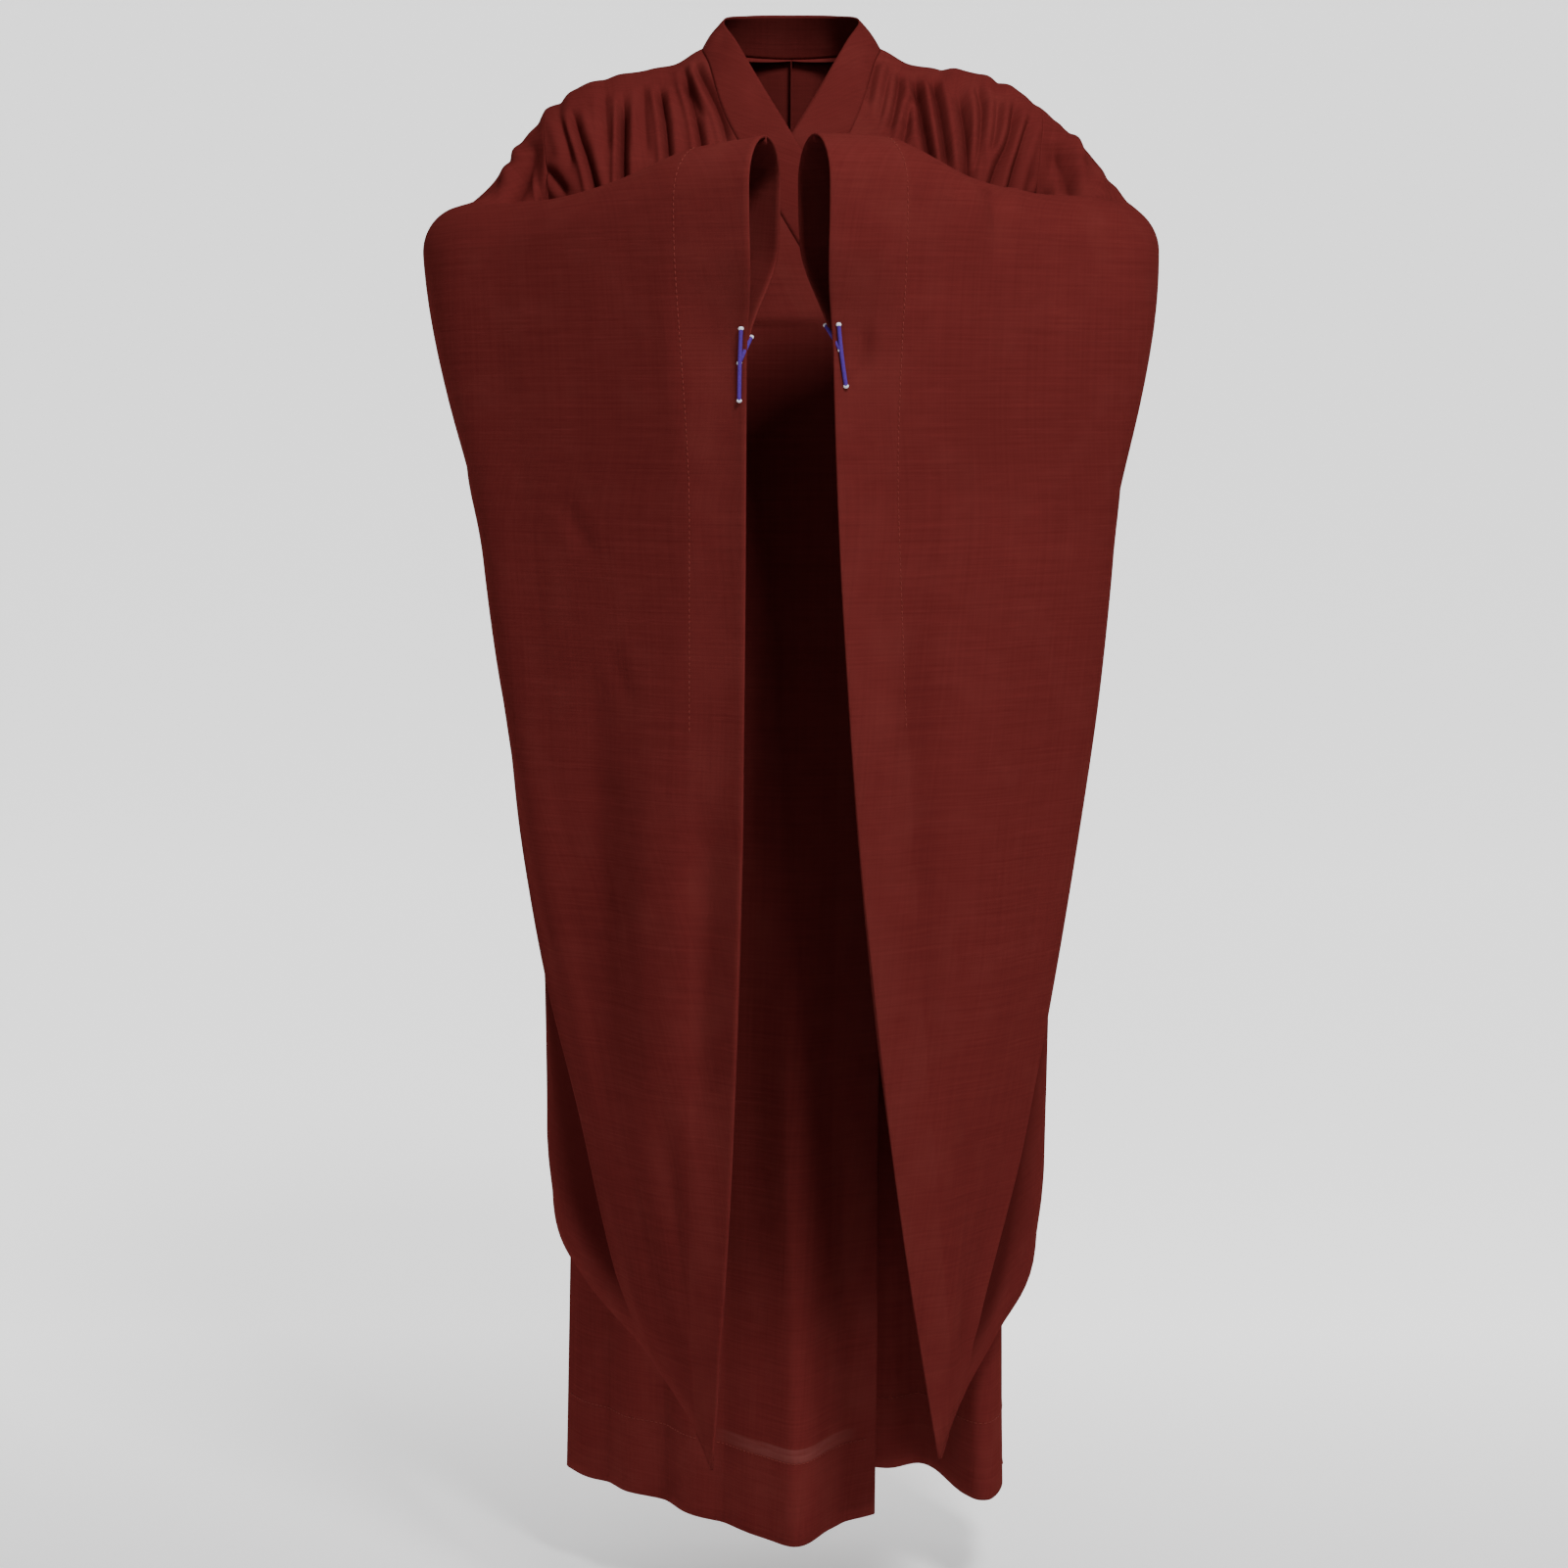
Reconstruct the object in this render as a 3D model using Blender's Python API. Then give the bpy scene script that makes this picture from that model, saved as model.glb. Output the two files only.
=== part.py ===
"""Buddhist monk's robe (haiqing), hollow, in the form it takes when worn with the hands clasped.

Metres, +Z up. The origin is between the shoulders at the base of the neck, where the wearer
carries the robe. The front faces -Y, and the wearer's right is at -X. Each cut piece of cloth
is a thin wall worked out on a grid of rows (down the cloth) and columns (across it).
"""

import math
from typing import NamedTuple

import bmesh
import bpy
import numpy as np

CLOTH_WALL = 0.0016
BAND_WALL = 0.0030
SEAM_GAP = 0.0003

HEM_Z = -1.371
ARMPIT_Z = -0.400
ARMPIT_OUT = 0.205
ARMPIT_Y = 0.004
SEAM_HALF = (CLOTH_WALL + SEAM_GAP) / 2

# Grid rows run from the shoulder to the armpit (or the sleeve's foot), then on to the hem.
UPPER_ROWS = 16
LOWER_ROWS = 8
FRONT_COLUMNS = 22
SLEEVE_COLUMNS = 18
BAND_ROWS = 2
BAND_END_ROW = 11
BACK_NECK_ROWS = 4
NECK_KNOT = 2

# Powers above 1 crowd the rows toward the shoulder, where the cloth curves most.
ROW_CROWDING = 1.5
SLEEVE_CROWDING = 2.1
SLEEVE_CROWDING_SHARE = 0.20
SKIRT_FLARE = 1.3
BAG_EASING_LENGTH = 0.28
SEAM_EASING_SHARE = 0.07
BOW_RISE = 0.6
FACING_TURN = 2.0
CUFF_OPEN_DROP = (0.09, 0.19)
CUFF_CLOSING_SHARE = 0.12
CUFF_MOUTH_SWING = 0.015

RIGHT = -1
LEFT = 1

MAROON = (0.098, 0.024, 0.020, 1.0)
DARK_MAROON = (0.085, 0.020, 0.018, 1.0)


class Station(NamedTuple):
    """One hanging section of a sleeve. `out` is the distance from the middle of the body."""

    share: float
    top_out: float
    top_y: float
    top_z: float
    foot_out: float
    foot_y: float
    foot_z: float
    bow_out: float
    bow_y: float
    lean: float
    arm_half: float
    bag_half: float
    face_top: float
    face_foot: float


RIGHT_SLEEVE = (
    Station(0.00, 0.232, 0.010, -0.036, 0.2072, 0.004, -0.400, 0.000, 0.000, 1.0, 0.085, 0.004, 90, 90),
    Station(0.05, 0.247, 0.002, -0.056, 0.217, 0.004, -0.550, 0.000, 0.000, 1.0, 0.078, 0.005, 84, 30),
    Station(0.11, 0.262, -0.020, -0.080, 0.223, 0.004, -0.740, -0.004, 0.000, 1.0, 0.070, 0.006, 73, 10),
    Station(0.20, 0.278, -0.050, -0.108, 0.228, 0.000, -0.980, -0.024, 0.000, 1.0, 0.058, 0.007, 52, 0),
    Station(0.31, 0.296, -0.090, -0.127, 0.231, -0.044, -1.098, -0.032, 0.000, 1.0, 0.049, 0.007, 22, -12),
    Station(0.42, 0.293, -0.138, -0.131, 0.194, -0.136, -1.143, 0.006, 0.000, 1.0, 0.046, 0.008, -8, -24),
    Station(0.52, 0.260, -0.185, -0.132, 0.138, -0.228, -1.178, 0.047, -0.006, 1.0, 0.045, 0.009, -34, -33),
    Station(0.64, 0.205, -0.232, -0.130, 0.122, -0.256, -1.193, 0.035, -0.004, 1.1, 0.045, 0.012, -46, -40),
    Station(0.77, 0.146, -0.285, -0.117, 0.104, -0.282, -1.211, 0.016, 0.000, 1.4, 0.045, 0.014, -53, -45),
    Station(0.90, 0.082, -0.336, -0.093, 0.086, -0.309, -1.234, 0.004, 0.002, 2.1, 0.043, 0.012, -60, -48),
    Station(1.00, 0.038, -0.374, -0.085, 0.072, -0.330, -1.262, 0.002, 0.004, 3.0, 0.040, 0.006, -70, -50),
)

LEFT_SLEEVE = (
    Station(0.00, 0.233, 0.010, -0.036, 0.2072, 0.004, -0.400, 0.000, 0.000, 1.0, 0.085, 0.004, 90, 90),
    Station(0.05, 0.250, 0.002, -0.052, 0.219, 0.004, -0.560, 0.000, 0.000, 1.0, 0.078, 0.005, 84, 30),
    Station(0.11, 0.267, -0.020, -0.071, 0.228, 0.004, -0.760, 0.000, 0.000, 1.0, 0.070, 0.006, 73, 10),
    Station(0.20, 0.287, -0.050, -0.096, 0.239, 0.000, -1.020, -0.018, 0.000, 1.0, 0.058, 0.007, 52, 0),
    Station(0.31, 0.296, -0.090, -0.120, 0.237, -0.044, -1.146, -0.018, 0.000, 1.0, 0.048, 0.007, 22, -12),
    Station(0.42, 0.287, -0.138, -0.128, 0.197, -0.132, -1.193, 0.018, 0.000, 1.0, 0.045, 0.008, -8, -24),
    Station(0.52, 0.260, -0.182, -0.127, 0.167, -0.225, -1.210, 0.050, -0.004, 1.0, 0.045, 0.009, -34, -33),
    Station(0.64, 0.208, -0.230, -0.125, 0.158, -0.256, -1.216, 0.037, -0.004, 1.0, 0.045, 0.012, -46, -40),
    Station(0.77, 0.146, -0.283, -0.113, 0.150, -0.282, -1.223, 0.016, 0.000, 1.2, 0.045, 0.014, -53, -45),
    Station(0.90, 0.080, -0.336, -0.084, 0.141, -0.309, -1.236, 0.002, 0.002, 1.6, 0.043, 0.012, -60, -48),
    Station(1.00, 0.034, -0.374, -0.083, 0.133, -0.330, -1.252, 0.000, 0.004, 2.1, 0.040, 0.006, -70, -50),
)


class PlanPoint(NamedTuple):
    """A place across a body panel, at the armpit's level and at the hem."""

    across: float
    chest_out: float
    chest_y: float
    hem_out: float
    hem_y: float


UPPER_FRONT_PLAN = (
    PlanPoint(0.00, -0.085, -0.152, -0.079, -0.138),
    PlanPoint(0.12, -0.050, -0.157, -0.040, -0.180),
    PlanPoint(0.25, -0.010, -0.160, -0.002, -0.224),
    PlanPoint(0.38, 0.035, -0.158, 0.052, -0.179),
    PlanPoint(0.54, 0.090, -0.148, 0.102, -0.132),
    PlanPoint(0.72, 0.148, -0.118, 0.155, -0.074),
    PlanPoint(0.88, 0.189, -0.064, 0.202, -0.034),
    PlanPoint(1.00, ARMPIT_OUT, ARMPIT_Y, 0.224, 0.004),
)

UNDER_FRONT_PLAN = (
    PlanPoint(0.00, -0.085, -0.124, -0.085, -0.072),
    PlanPoint(0.16, -0.035, -0.138, -0.030, -0.046),
    PlanPoint(0.32, 0.020, -0.148, 0.030, -0.016),
    PlanPoint(0.48, 0.075, -0.144, 0.085, -0.002),
    PlanPoint(0.62, 0.118, -0.134, 0.138, -0.006),
    PlanPoint(0.74, 0.152, -0.114, 0.170, -0.078),
    PlanPoint(0.84, 0.178, -0.084, 0.194, -0.094),
    PlanPoint(0.92, 0.195, -0.048, 0.209, -0.058),
    PlanPoint(1.00, ARMPIT_OUT, ARMPIT_Y, 0.211, 0.004),
)

BACK_PLAN = (
    PlanPoint(0.00, 0.000, 0.122, 0.000, 0.150),
    PlanPoint(0.14, 0.030, 0.123, 0.034, 0.138),
    PlanPoint(0.28, 0.062, 0.122, 0.066, 0.156),
    PlanPoint(0.42, 0.094, 0.116, 0.100, 0.128),
    PlanPoint(0.58, 0.130, 0.104, 0.138, 0.132),
    PlanPoint(0.74, 0.164, 0.082, 0.172, 0.090),
    PlanPoint(0.88, 0.192, 0.050, 0.202, 0.062),
)


class BandPoint(NamedTuple):
    """A section of the collar band: its free edge, and its seam to the body."""

    edge_out: float
    edge_y: float
    edge_z: float
    seam_out: float
    seam_y: float
    seam_z: float


NAPE_SECTION = BandPoint(0.000, 0.058, 0.060, 0.000, 0.080, 0.020)
BACK_NECK_SECTION = BandPoint(0.042, 0.045, 0.058, 0.054, 0.062, 0.022)
NECK_SIDE_SECTION = BandPoint(0.064, 0.006, 0.050, 0.083, 0.006, 0.024)

LAPEL_SECTIONS = (
    BandPoint(0.051, -0.026, 0.026, 0.077, -0.030, 0.004),
    BandPoint(0.023, -0.070, -0.024, 0.063, -0.078, -0.042),
    BandPoint(0.000, -0.102, -0.063, 0.041, -0.110, -0.086),
    BandPoint(-0.040, -0.132, -0.130, 0.001, -0.137, -0.154),
    BandPoint(-0.085, -0.155, -0.208, -0.045, -0.154, -0.232),
)
UNDER_LAP_SETBACK = 0.030
LAPEL_SETBACK_SHARES = (0.03, 0.2, 0.35, 0.6, 1.0)
BAND_END_DROP = 0.005
SHOULDER_BLADES = (0.0, 0.118, -0.150)
SHOULDER_BLADES_SHARE = 0.4


class ShoulderPoint(NamedTuple):
    """A place along the shoulder line, as a share of the way from the neck to the armhole."""

    share: float
    y: float
    z: float


SHOULDER_MIDDLE = ShoulderPoint(0.50, 0.010, -0.003)
SHOULDER_CREST = ShoulderPoint(0.78, 0.011, -0.015)


class GatherFold(NamedTuple):
    """A trough that runs down the chest from the shoulder. Places are shares across the panel."""

    across_top: float
    across_low: float
    depth: float
    width: float


RIGHT_GATHERS = (
    GatherFold(0.06, 0.14, 0.004, 0.035),
    GatherFold(0.18, 0.26, 0.004, 0.035),
    GatherFold(0.31, 0.40, 0.005, 0.040),
    GatherFold(0.44, 0.49, 0.003, 0.030),
    GatherFold(0.55, 0.62, 0.008, 0.045),
    GatherFold(0.70, 0.72, 0.003, 0.030),
    GatherFold(0.86, 0.80, 0.006, 0.040),
)
LEFT_GATHERS = (
    GatherFold(0.05, 0.12, 0.003, 0.030),
    GatherFold(0.14, 0.25, 0.004, 0.035),
    GatherFold(0.24, 0.38, 0.004, 0.035),
    GatherFold(0.34, 0.52, 0.008, 0.045),
    GatherFold(0.50, 0.64, 0.005, 0.035),
    GatherFold(0.64, 0.74, 0.005, 0.035),
    GatherFold(0.80, 0.86, 0.006, 0.040),
)
GATHER_FADE_ROW = 13
GATHER_FADE_START = 0.5
GATHER_SHOULDER_SHARE = 0.4
GATHER_RISE_SHARE = 0.2
GATHER_SEAM_MARGIN = 0.06
BACK_GATHER_SHARE = 0.45


def remove_everything():
    """Empty the scene, so that the robe stands alone in it."""
    for item in list(bpy.data.objects):
        bpy.data.objects.remove(item, do_unlink=True)


def ease(value):
    """Smooth step from 0 to 1."""
    held = np.clip(value, 0.0, 1.0)
    return held * held * (3.0 - 2.0 * held)


def smooth_through(knots, values, at):
    """Read a smooth curve through `values`, given at `knots`, at the places `at`."""
    knots = np.asarray(knots, dtype=float)
    values = np.asarray(values, dtype=float).reshape(len(knots), -1)
    at = np.asarray(at, dtype=float)
    slopes = np.gradient(values, knots, axis=0)
    left = np.clip(np.searchsorted(knots, at, side="right") - 1, 0, len(knots) - 2)
    span = (knots[left + 1] - knots[left])[:, None]
    part = ((at - knots[left]) / span[:, 0])[:, None]
    from_left = (1 + 2 * part) * (1 - part) ** 2 * values[left]
    from_left += part * (1 - part) ** 2 * span * slopes[left]
    from_right = part**2 * (3 - 2 * part) * values[left + 1]
    from_right += part**2 * (part - 1) * span * slopes[left + 1]
    return from_left + from_right


def surface_normals(points, turn):
    """Unit normals of a grid of points, on the side that `turn` (1 or -1) chooses."""
    down = np.gradient(points, axis=0)
    across = np.gradient(points, axis=1)
    normals = np.cross(across, down) * turn
    return normals / np.maximum(np.linalg.norm(normals, axis=2, keepdims=True), 1e-12)


class Sheet:
    """One cut piece: points through the middle of its wall, with their outward normals."""

    def __init__(self, name, points, turn, wall=CLOTH_WALL, colour=MAROON):
        self.name = name
        self.points = points
        self.wall = wall
        self.colour = colour
        self.normals = surface_normals(points, turn)

    def border(self):
        """Grid places along the four edges."""
        rows, columns = self.points.shape[:2]
        for row in range(rows):
            for column in range(columns):
                if row in (0, rows - 1) or column in (0, columns - 1):
                    yield row, column

    def draw_back(self, distance):
        """Pull all four edges back into the piece, square to each edge."""
        for axis in (0, 1):
            for edge, inside in ((0, 1), (-1, -2)):
                rim = np.take(self.points, edge, axis=axis)
                along = np.gradient(rim, axis=0)
                inward = np.cross(np.take(self.normals, edge, axis=axis), along)
                toward = np.take(self.points, inside, axis=axis) - rim
                inward *= np.sign(np.sum(inward * toward, axis=1, keepdims=True))
                inward /= np.maximum(np.linalg.norm(inward, axis=1, keepdims=True), 1e-12)
                if axis == 0:
                    self.points[edge] = rim + inward * distance
                else:
                    self.points[:, edge] = rim + inward * distance

    def build(self):
        """Make the closed wall as an object of its own."""
        rows, columns = self.points.shape[:2]
        outside = self.points + self.normals * self.wall / 2
        inside = self.points - self.normals * self.wall / 2
        form = bmesh.new()
        front = [[form.verts.new(outside[r, c]) for c in range(columns)] for r in range(rows)]
        rear = [[form.verts.new(inside[r, c]) for c in range(columns)] for r in range(rows)]
        for r in range(rows - 1):
            for c in range(columns - 1):
                form.faces.new((front[r][c], front[r][c + 1], front[r + 1][c + 1], front[r + 1][c]))
                form.faces.new((rear[r][c], rear[r + 1][c], rear[r + 1][c + 1], rear[r][c + 1]))
        rim = [(0, c) for c in range(columns)]
        rim += [(r, columns - 1) for r in range(1, rows)]
        rim += [(rows - 1, c) for c in range(columns - 2, -1, -1)]
        rim += [(r, 0) for r in range(rows - 2, 0, -1)]
        for here, after in zip(rim, rim[1:] + rim[:1]):
            a, b = front[here[0]][here[1]], front[after[0]][after[1]]
            c, d = rear[after[0]][after[1]], rear[here[0]][here[1]]
            form.faces.new((b, a, d, c))
        bmesh.ops.recalc_face_normals(form, faces=form.faces)
        mesh = bpy.data.meshes.new(self.name)
        form.to_mesh(mesh)
        form.free()
        mesh.materials.append(cloth_material(self.name, self.colour))
        made = bpy.data.objects.new(self.name, mesh)
        bpy.context.collection.objects.link(made)
        return made


def cloth_material(name, colour):
    """Matt woven cloth."""
    material = bpy.data.materials.new(name + "_cloth")
    material.use_nodes = True
    shader = material.node_tree.nodes["Principled BSDF"]
    shader.inputs["Base Color"].default_value = colour
    shader.inputs["Roughness"].default_value = 0.85
    shader.inputs["Metallic"].default_value = 0.0
    return material


def share_normals(sheets):
    """Give pieces that meet along a seam the same normals there, so that their rims are parallel."""
    meeting = {}
    for sheet in sheets:
        for row, column in sheet.border():
            key = tuple(np.round(sheet.points[row, column] * 1e5).astype(int))
            meeting.setdefault(key, []).append((sheet, row, column))
    for members in meeting.values():
        total = sum(sheet.normals[row, column] for sheet, row, column in members)
        total = total / max(np.linalg.norm(total), 1e-9)
        for sheet, row, column in members:
            sheet.normals[row, column] = total


def sleeve_layers(side, stations, name):
    """The outer and the inner layer of one hanging sleeve."""
    table = np.array(stations)
    shares = np.linspace(0.0, 1.0, SLEEVE_COLUMNS + 1)
    read = Station(*smooth_through(table[:, 0], table, shares).T)
    steps = np.linspace(0.0, 1.0, UPPER_ROWS + 1)[:, None]
    crowding = ROW_CROWDING + (SLEEVE_CROWDING - ROW_CROWDING) * ease(shares / SLEEVE_CROWDING_SHARE)
    fall = steps**crowding
    drop = fall * (read.top_z - read.foot_z)
    bow = np.sin(math.pi * fall**BOW_RISE)
    leaning = fall**read.lean
    out = read.top_out + (read.foot_out - read.top_out) * leaning + read.bow_out * bow
    deep = read.top_y + (read.foot_y - read.top_y) * leaning + read.bow_y * bow

    arc = np.clip(drop / read.arm_half, 0.0, 1.0)
    roundness = np.sqrt(arc * (2.0 - arc))
    settling = ease((drop - read.arm_half) / BAG_EASING_LENGTH)
    half = read.arm_half * roundness * (1 - settling) + read.bag_half * settling
    closing = ease((1.0 - fall) / SEAM_EASING_SHARE)
    half = SEAM_HALF + (half - SEAM_HALF) * closing
    below_mouth = ease((drop - CUFF_OPEN_DROP[0]) / (CUFF_OPEN_DROP[1] - CUFF_OPEN_DROP[0]))
    near_cuff = ease((shares - 1.0 + CUFF_CLOSING_SHARE) / CUFF_CLOSING_SHARE)
    out = out - CUFF_MOUTH_SWING * (1 - below_mouth) * near_cuff
    half = half + (SEAM_HALF - half) * below_mouth * near_cuff
    half[0] = 0.0

    facing = np.radians(read.face_top + (read.face_foot - read.face_top) * fall**FACING_TURN)
    layers = []
    for label, layer, turn in (("outer", 1, side), ("inner", -1, -side)):
        points = np.empty(out.shape + (3,))
        points[..., 0] = side * (out + layer * half * np.cos(facing))
        points[..., 1] = deep + layer * half * np.sin(facing)
        points[..., 2] = read.top_z - drop
        layers.append(Sheet(f"{name}_{label}", points, turn))
    return layers


def band_curves():
    """The band's free edge and its seam to the body, from the upper front's end to the under's.

    There is a point for each row of the front and back panels that the band is sewn to.
    """
    half = [NAPE_SECTION, BACK_NECK_SECTION, NECK_SIDE_SECTION, *LAPEL_SECTIONS]
    setbacks = np.array((0.0, 0.0, 0.0) + LAPEL_SETBACK_SHARES) * UNDER_LAP_SETBACK
    table = np.array(half)
    upper = table * np.array((RIGHT, 1, 1, RIGHT, 1, 1))
    under = table + np.outer(setbacks, (0, 1, 0, 0, 1, 0))
    sections = np.concatenate((upper[:0:-1], under))
    round_neck = np.linspace(0.0, NECK_KNOT, BACK_NECK_ROWS + 1)
    down_lapel = np.linspace(NECK_KNOT, len(half) - 1.0, BAND_END_ROW + 1)[1:]
    places = np.concatenate((round_neck, down_lapel))
    places = np.concatenate((-places[:0:-1], places)) + len(half) - 1
    read = smooth_through(np.arange(len(sections)), sections, places)
    return read[:, :3], read[:, 3:]


def one_side(curve, side):
    """The half of a band curve on one side of the body, from the nape down."""
    nape = len(curve) // 2
    return curve[nape:] if side == LEFT else curve[nape::-1]


def shoulder_line(neck_point, armhole_top, shares):
    """The line from the base of the neck to the top of the arm."""
    knots = [0.0]
    places = [neck_point]
    for point in (SHOULDER_MIDDLE, SHOULDER_CREST):
        knots.append(point.share)
        places.append((neck_point[0] + point.share * (armhole_top[0] - neck_point[0]), point.y, point.z))
    return smooth_through(knots + [1.0], places + [armhole_top], shares)


def plan_curve(side, plan, level, shares):
    """Points across a body panel, at `level` 0 (the armpit) to 1 (the hem)."""
    table = np.array(plan)
    read = PlanPoint(*smooth_through(table[:, 0], table, shares).T)
    out = read.chest_out + (read.hem_out - read.chest_out) * level
    deep = read.chest_y + (read.hem_y - read.chest_y) * level
    height = np.full_like(out, ARMPIT_Z)
    return np.stack((side * out, deep, height), axis=1)


def gather(points, turn, folds, low_strength):
    """Press the troughs of the gathers, which run down from the shoulder, into a panel's upper rows."""
    normals = surface_normals(points, turn)
    across = np.linspace(0.0, 1.0, points.shape[1])
    press = np.zeros(points.shape[:2])
    for row in range(GATHER_FADE_ROW + 1):
        travel = row / GATHER_FADE_ROW
        fade = 1.0 - ease((travel - GATHER_FADE_START) / (1.0 - GATHER_FADE_START))
        growth = ease(travel / GATHER_RISE_SHARE) * low_strength
        rise = GATHER_SHOULDER_SHARE + (1.0 - GATHER_SHOULDER_SHARE) * growth
        for fold in folds:
            centre = fold.across_top + (fold.across_low - fold.across_top) * travel
            trough = np.exp(-(((across - centre) / fold.width) ** 2))
            press[row] += fold.depth * trough * fade * rise
    hold = ease(across / GATHER_SEAM_MARGIN) * ease((1.0 - across) / GATHER_SEAM_MARGIN)
    return points - normals * (press * hold)[..., None]


def body_panel(side, plan, neck_side, armhole, folds, turn, name, low_strength=1.0):
    """A front or back panel, from the shoulder line to the hem.

    `neck_side` and `armhole` are the panel's two upper edges, a point for each upper row.
    """
    across = np.linspace(0.0, 1.0, FRONT_COLUMNS + 1)
    fall = (np.linspace(0.0, 1.0, UPPER_ROWS + 1) ** ROW_CROWDING)[:, None, None]
    top = shoulder_line(neck_side[0], armhole[0], across)
    bottom = plan_curve(side, plan, 0.0, across)
    u = across[None, :, None]
    sides = (1 - u) * neck_side[:, None] + u * armhole[:, None]
    ends = (1 - fall) * top[None] + fall * bottom[None]
    corners = (1 - fall) * ((1 - u) * top[0] + u * top[-1]) + fall * ((1 - u) * bottom[0] + u * bottom[-1])
    upper = gather(sides + ends - corners, turn, folds, low_strength)

    lower = []
    for step in range(1, LOWER_ROWS + 1):
        level = step / LOWER_ROWS
        row = plan_curve(side, plan, level**SKIRT_FLARE, across)
        row[:, 2] = ARMPIT_Z + (HEM_Z - ARMPIT_Z) * level
        lower.append(row)
    points = np.concatenate((upper, np.array(lower)))
    return Sheet(name, points, turn)


def front_edge(band, plan, side):
    """The front panel's inner edge: down the band's seam, out along its end, and down the opening."""
    edge, seam = (one_side(curve, side) for curve in band)
    corner = edge[-1].copy()
    corner[2] = seam[-1][2] - BAND_END_DROP
    foot = np.array((side * plan[0].chest_out, plan[0].chest_y, ARMPIT_Z))
    left = np.linspace(0.0, 1.0, UPPER_ROWS - BAND_END_ROW)[:, None]
    return np.concatenate((seam[BACK_NECK_ROWS:], corner + (foot - corner) * left))


def back_edge(band, side):
    """The back panel's inner edge: round the back of the neck, then down the centre-back seam."""
    round_neck = one_side(band[1], side)[BACK_NECK_ROWS::-1]
    foot = np.array((0.0, BACK_PLAN[0].chest_y, ARMPIT_Z))
    left = np.arange(1, UPPER_ROWS - BACK_NECK_ROWS + 1) / (UPPER_ROWS - BACK_NECK_ROWS)
    down = smooth_through((0.0, SHOULDER_BLADES_SHARE, 1.0), (round_neck[-1], SHOULDER_BLADES, foot), left)
    return np.concatenate((round_neck, down))


def armhole_edge(layer, side):
    """The body's side of the seam to one layer of the sleeve, down to the armpit."""
    curve = layer.points[:, 0].copy()
    curve[-1] = (side * ARMPIT_OUT, ARMPIT_Y, ARMPIT_Z)
    return curve


def collar_band(band):
    """The band, from the upper front's lapel round the nape to the under front's."""
    edge, seam = band
    part = np.linspace(0.0, 1.0, BAND_ROWS + 1)[:, None, None]
    return Sheet("collar_band", edge * (1 - part) + seam * part, 1, BAND_WALL, DARK_MAROON)


def build_robe():
    """Make every piece of the robe."""
    remove_everything()
    right_outer, right_inner = sleeve_layers(RIGHT, RIGHT_SLEEVE, "sleeve_right")
    left_outer, left_inner = sleeve_layers(LEFT, LEFT_SLEEVE, "sleeve_left")
    band = band_curves()
    sheets = []
    for side, plan, inner, outer, folds, front_name, back_name in (
        (RIGHT, UPPER_FRONT_PLAN, right_inner, right_outer, RIGHT_GATHERS, "front_outer", "back_right"),
        (LEFT, UNDER_FRONT_PLAN, left_inner, left_outer, LEFT_GATHERS, "front_under", "back_left"),
    ):
        front_neck = front_edge(band, plan, side)
        front = body_panel(side, plan, front_neck, armhole_edge(inner, side), folds, -side, front_name)
        back_plan = BACK_PLAN + (plan[-1],)
        back = body_panel(side, back_plan, back_edge(band, side), armhole_edge(outer, side), folds,
                          side, back_name, BACK_GATHER_SHARE)
        back.points[0] = front.points[0]
        sheets += [front, back]
    sheets += [right_outer, right_inner, left_outer, left_inner, collar_band(band)]
    share_normals(sheets)
    for sheet in sheets:
        sheet.draw_back(SEAM_GAP / 2)
        sheet.build()


build_robe()
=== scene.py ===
"""A monk's crossover robe, dressed from its cut: panels, sleeves, collar band, hems and hand sewing.

Lengths are metres in the frame of the model: +Z is up, the front faces -Y, and the wearer's right is at -X.
Each panel is worked out on a grid of rows (down the cloth) and columns (across it), pressed with its folds,
turned at its edges and given the thickness of the cloth.
"""

from __future__ import annotations

import logging
import math
from dataclasses import dataclass, field
from enum import Enum
from typing import Iterable, NamedTuple, Sequence, Union

import bpy
import numpy as np
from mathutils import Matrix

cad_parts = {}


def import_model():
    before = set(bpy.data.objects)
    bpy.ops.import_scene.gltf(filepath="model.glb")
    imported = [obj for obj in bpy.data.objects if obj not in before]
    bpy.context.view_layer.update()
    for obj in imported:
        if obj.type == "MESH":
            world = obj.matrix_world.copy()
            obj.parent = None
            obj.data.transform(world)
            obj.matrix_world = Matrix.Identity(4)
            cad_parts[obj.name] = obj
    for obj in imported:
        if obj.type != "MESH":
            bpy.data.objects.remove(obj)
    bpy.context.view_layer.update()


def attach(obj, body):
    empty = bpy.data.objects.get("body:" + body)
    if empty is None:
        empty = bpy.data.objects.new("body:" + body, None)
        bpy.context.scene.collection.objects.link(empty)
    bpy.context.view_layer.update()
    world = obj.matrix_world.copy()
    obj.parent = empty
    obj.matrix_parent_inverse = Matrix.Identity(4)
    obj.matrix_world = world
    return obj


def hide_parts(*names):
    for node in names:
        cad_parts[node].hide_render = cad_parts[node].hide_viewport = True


LOG = logging.getLogger("robe")

Place = tuple[float, float]
Colour = tuple[float, float, float]

HEM_Z = -1.371
ARMPIT = np.array((0.205, 0.004, -0.400))
CLOTH_THICKNESS = 0.0009
LAYER_SPACE = 0.0017
SEAM_SPACE = 0.00015
SEAM_ALLOWANCE = 0.006
FOOT_ALLOWANCE = 0.0009
SEAM_REACH = 0.012
SEAM_TURN_LEAST = 0.0004
SEAM_TURN_STEPS = (1.0, 0.45, 0.12)
PLACES_PER_METRE = 2e4
PLUMB_FROM = 2 / 3
TINY = 1e-12

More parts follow.
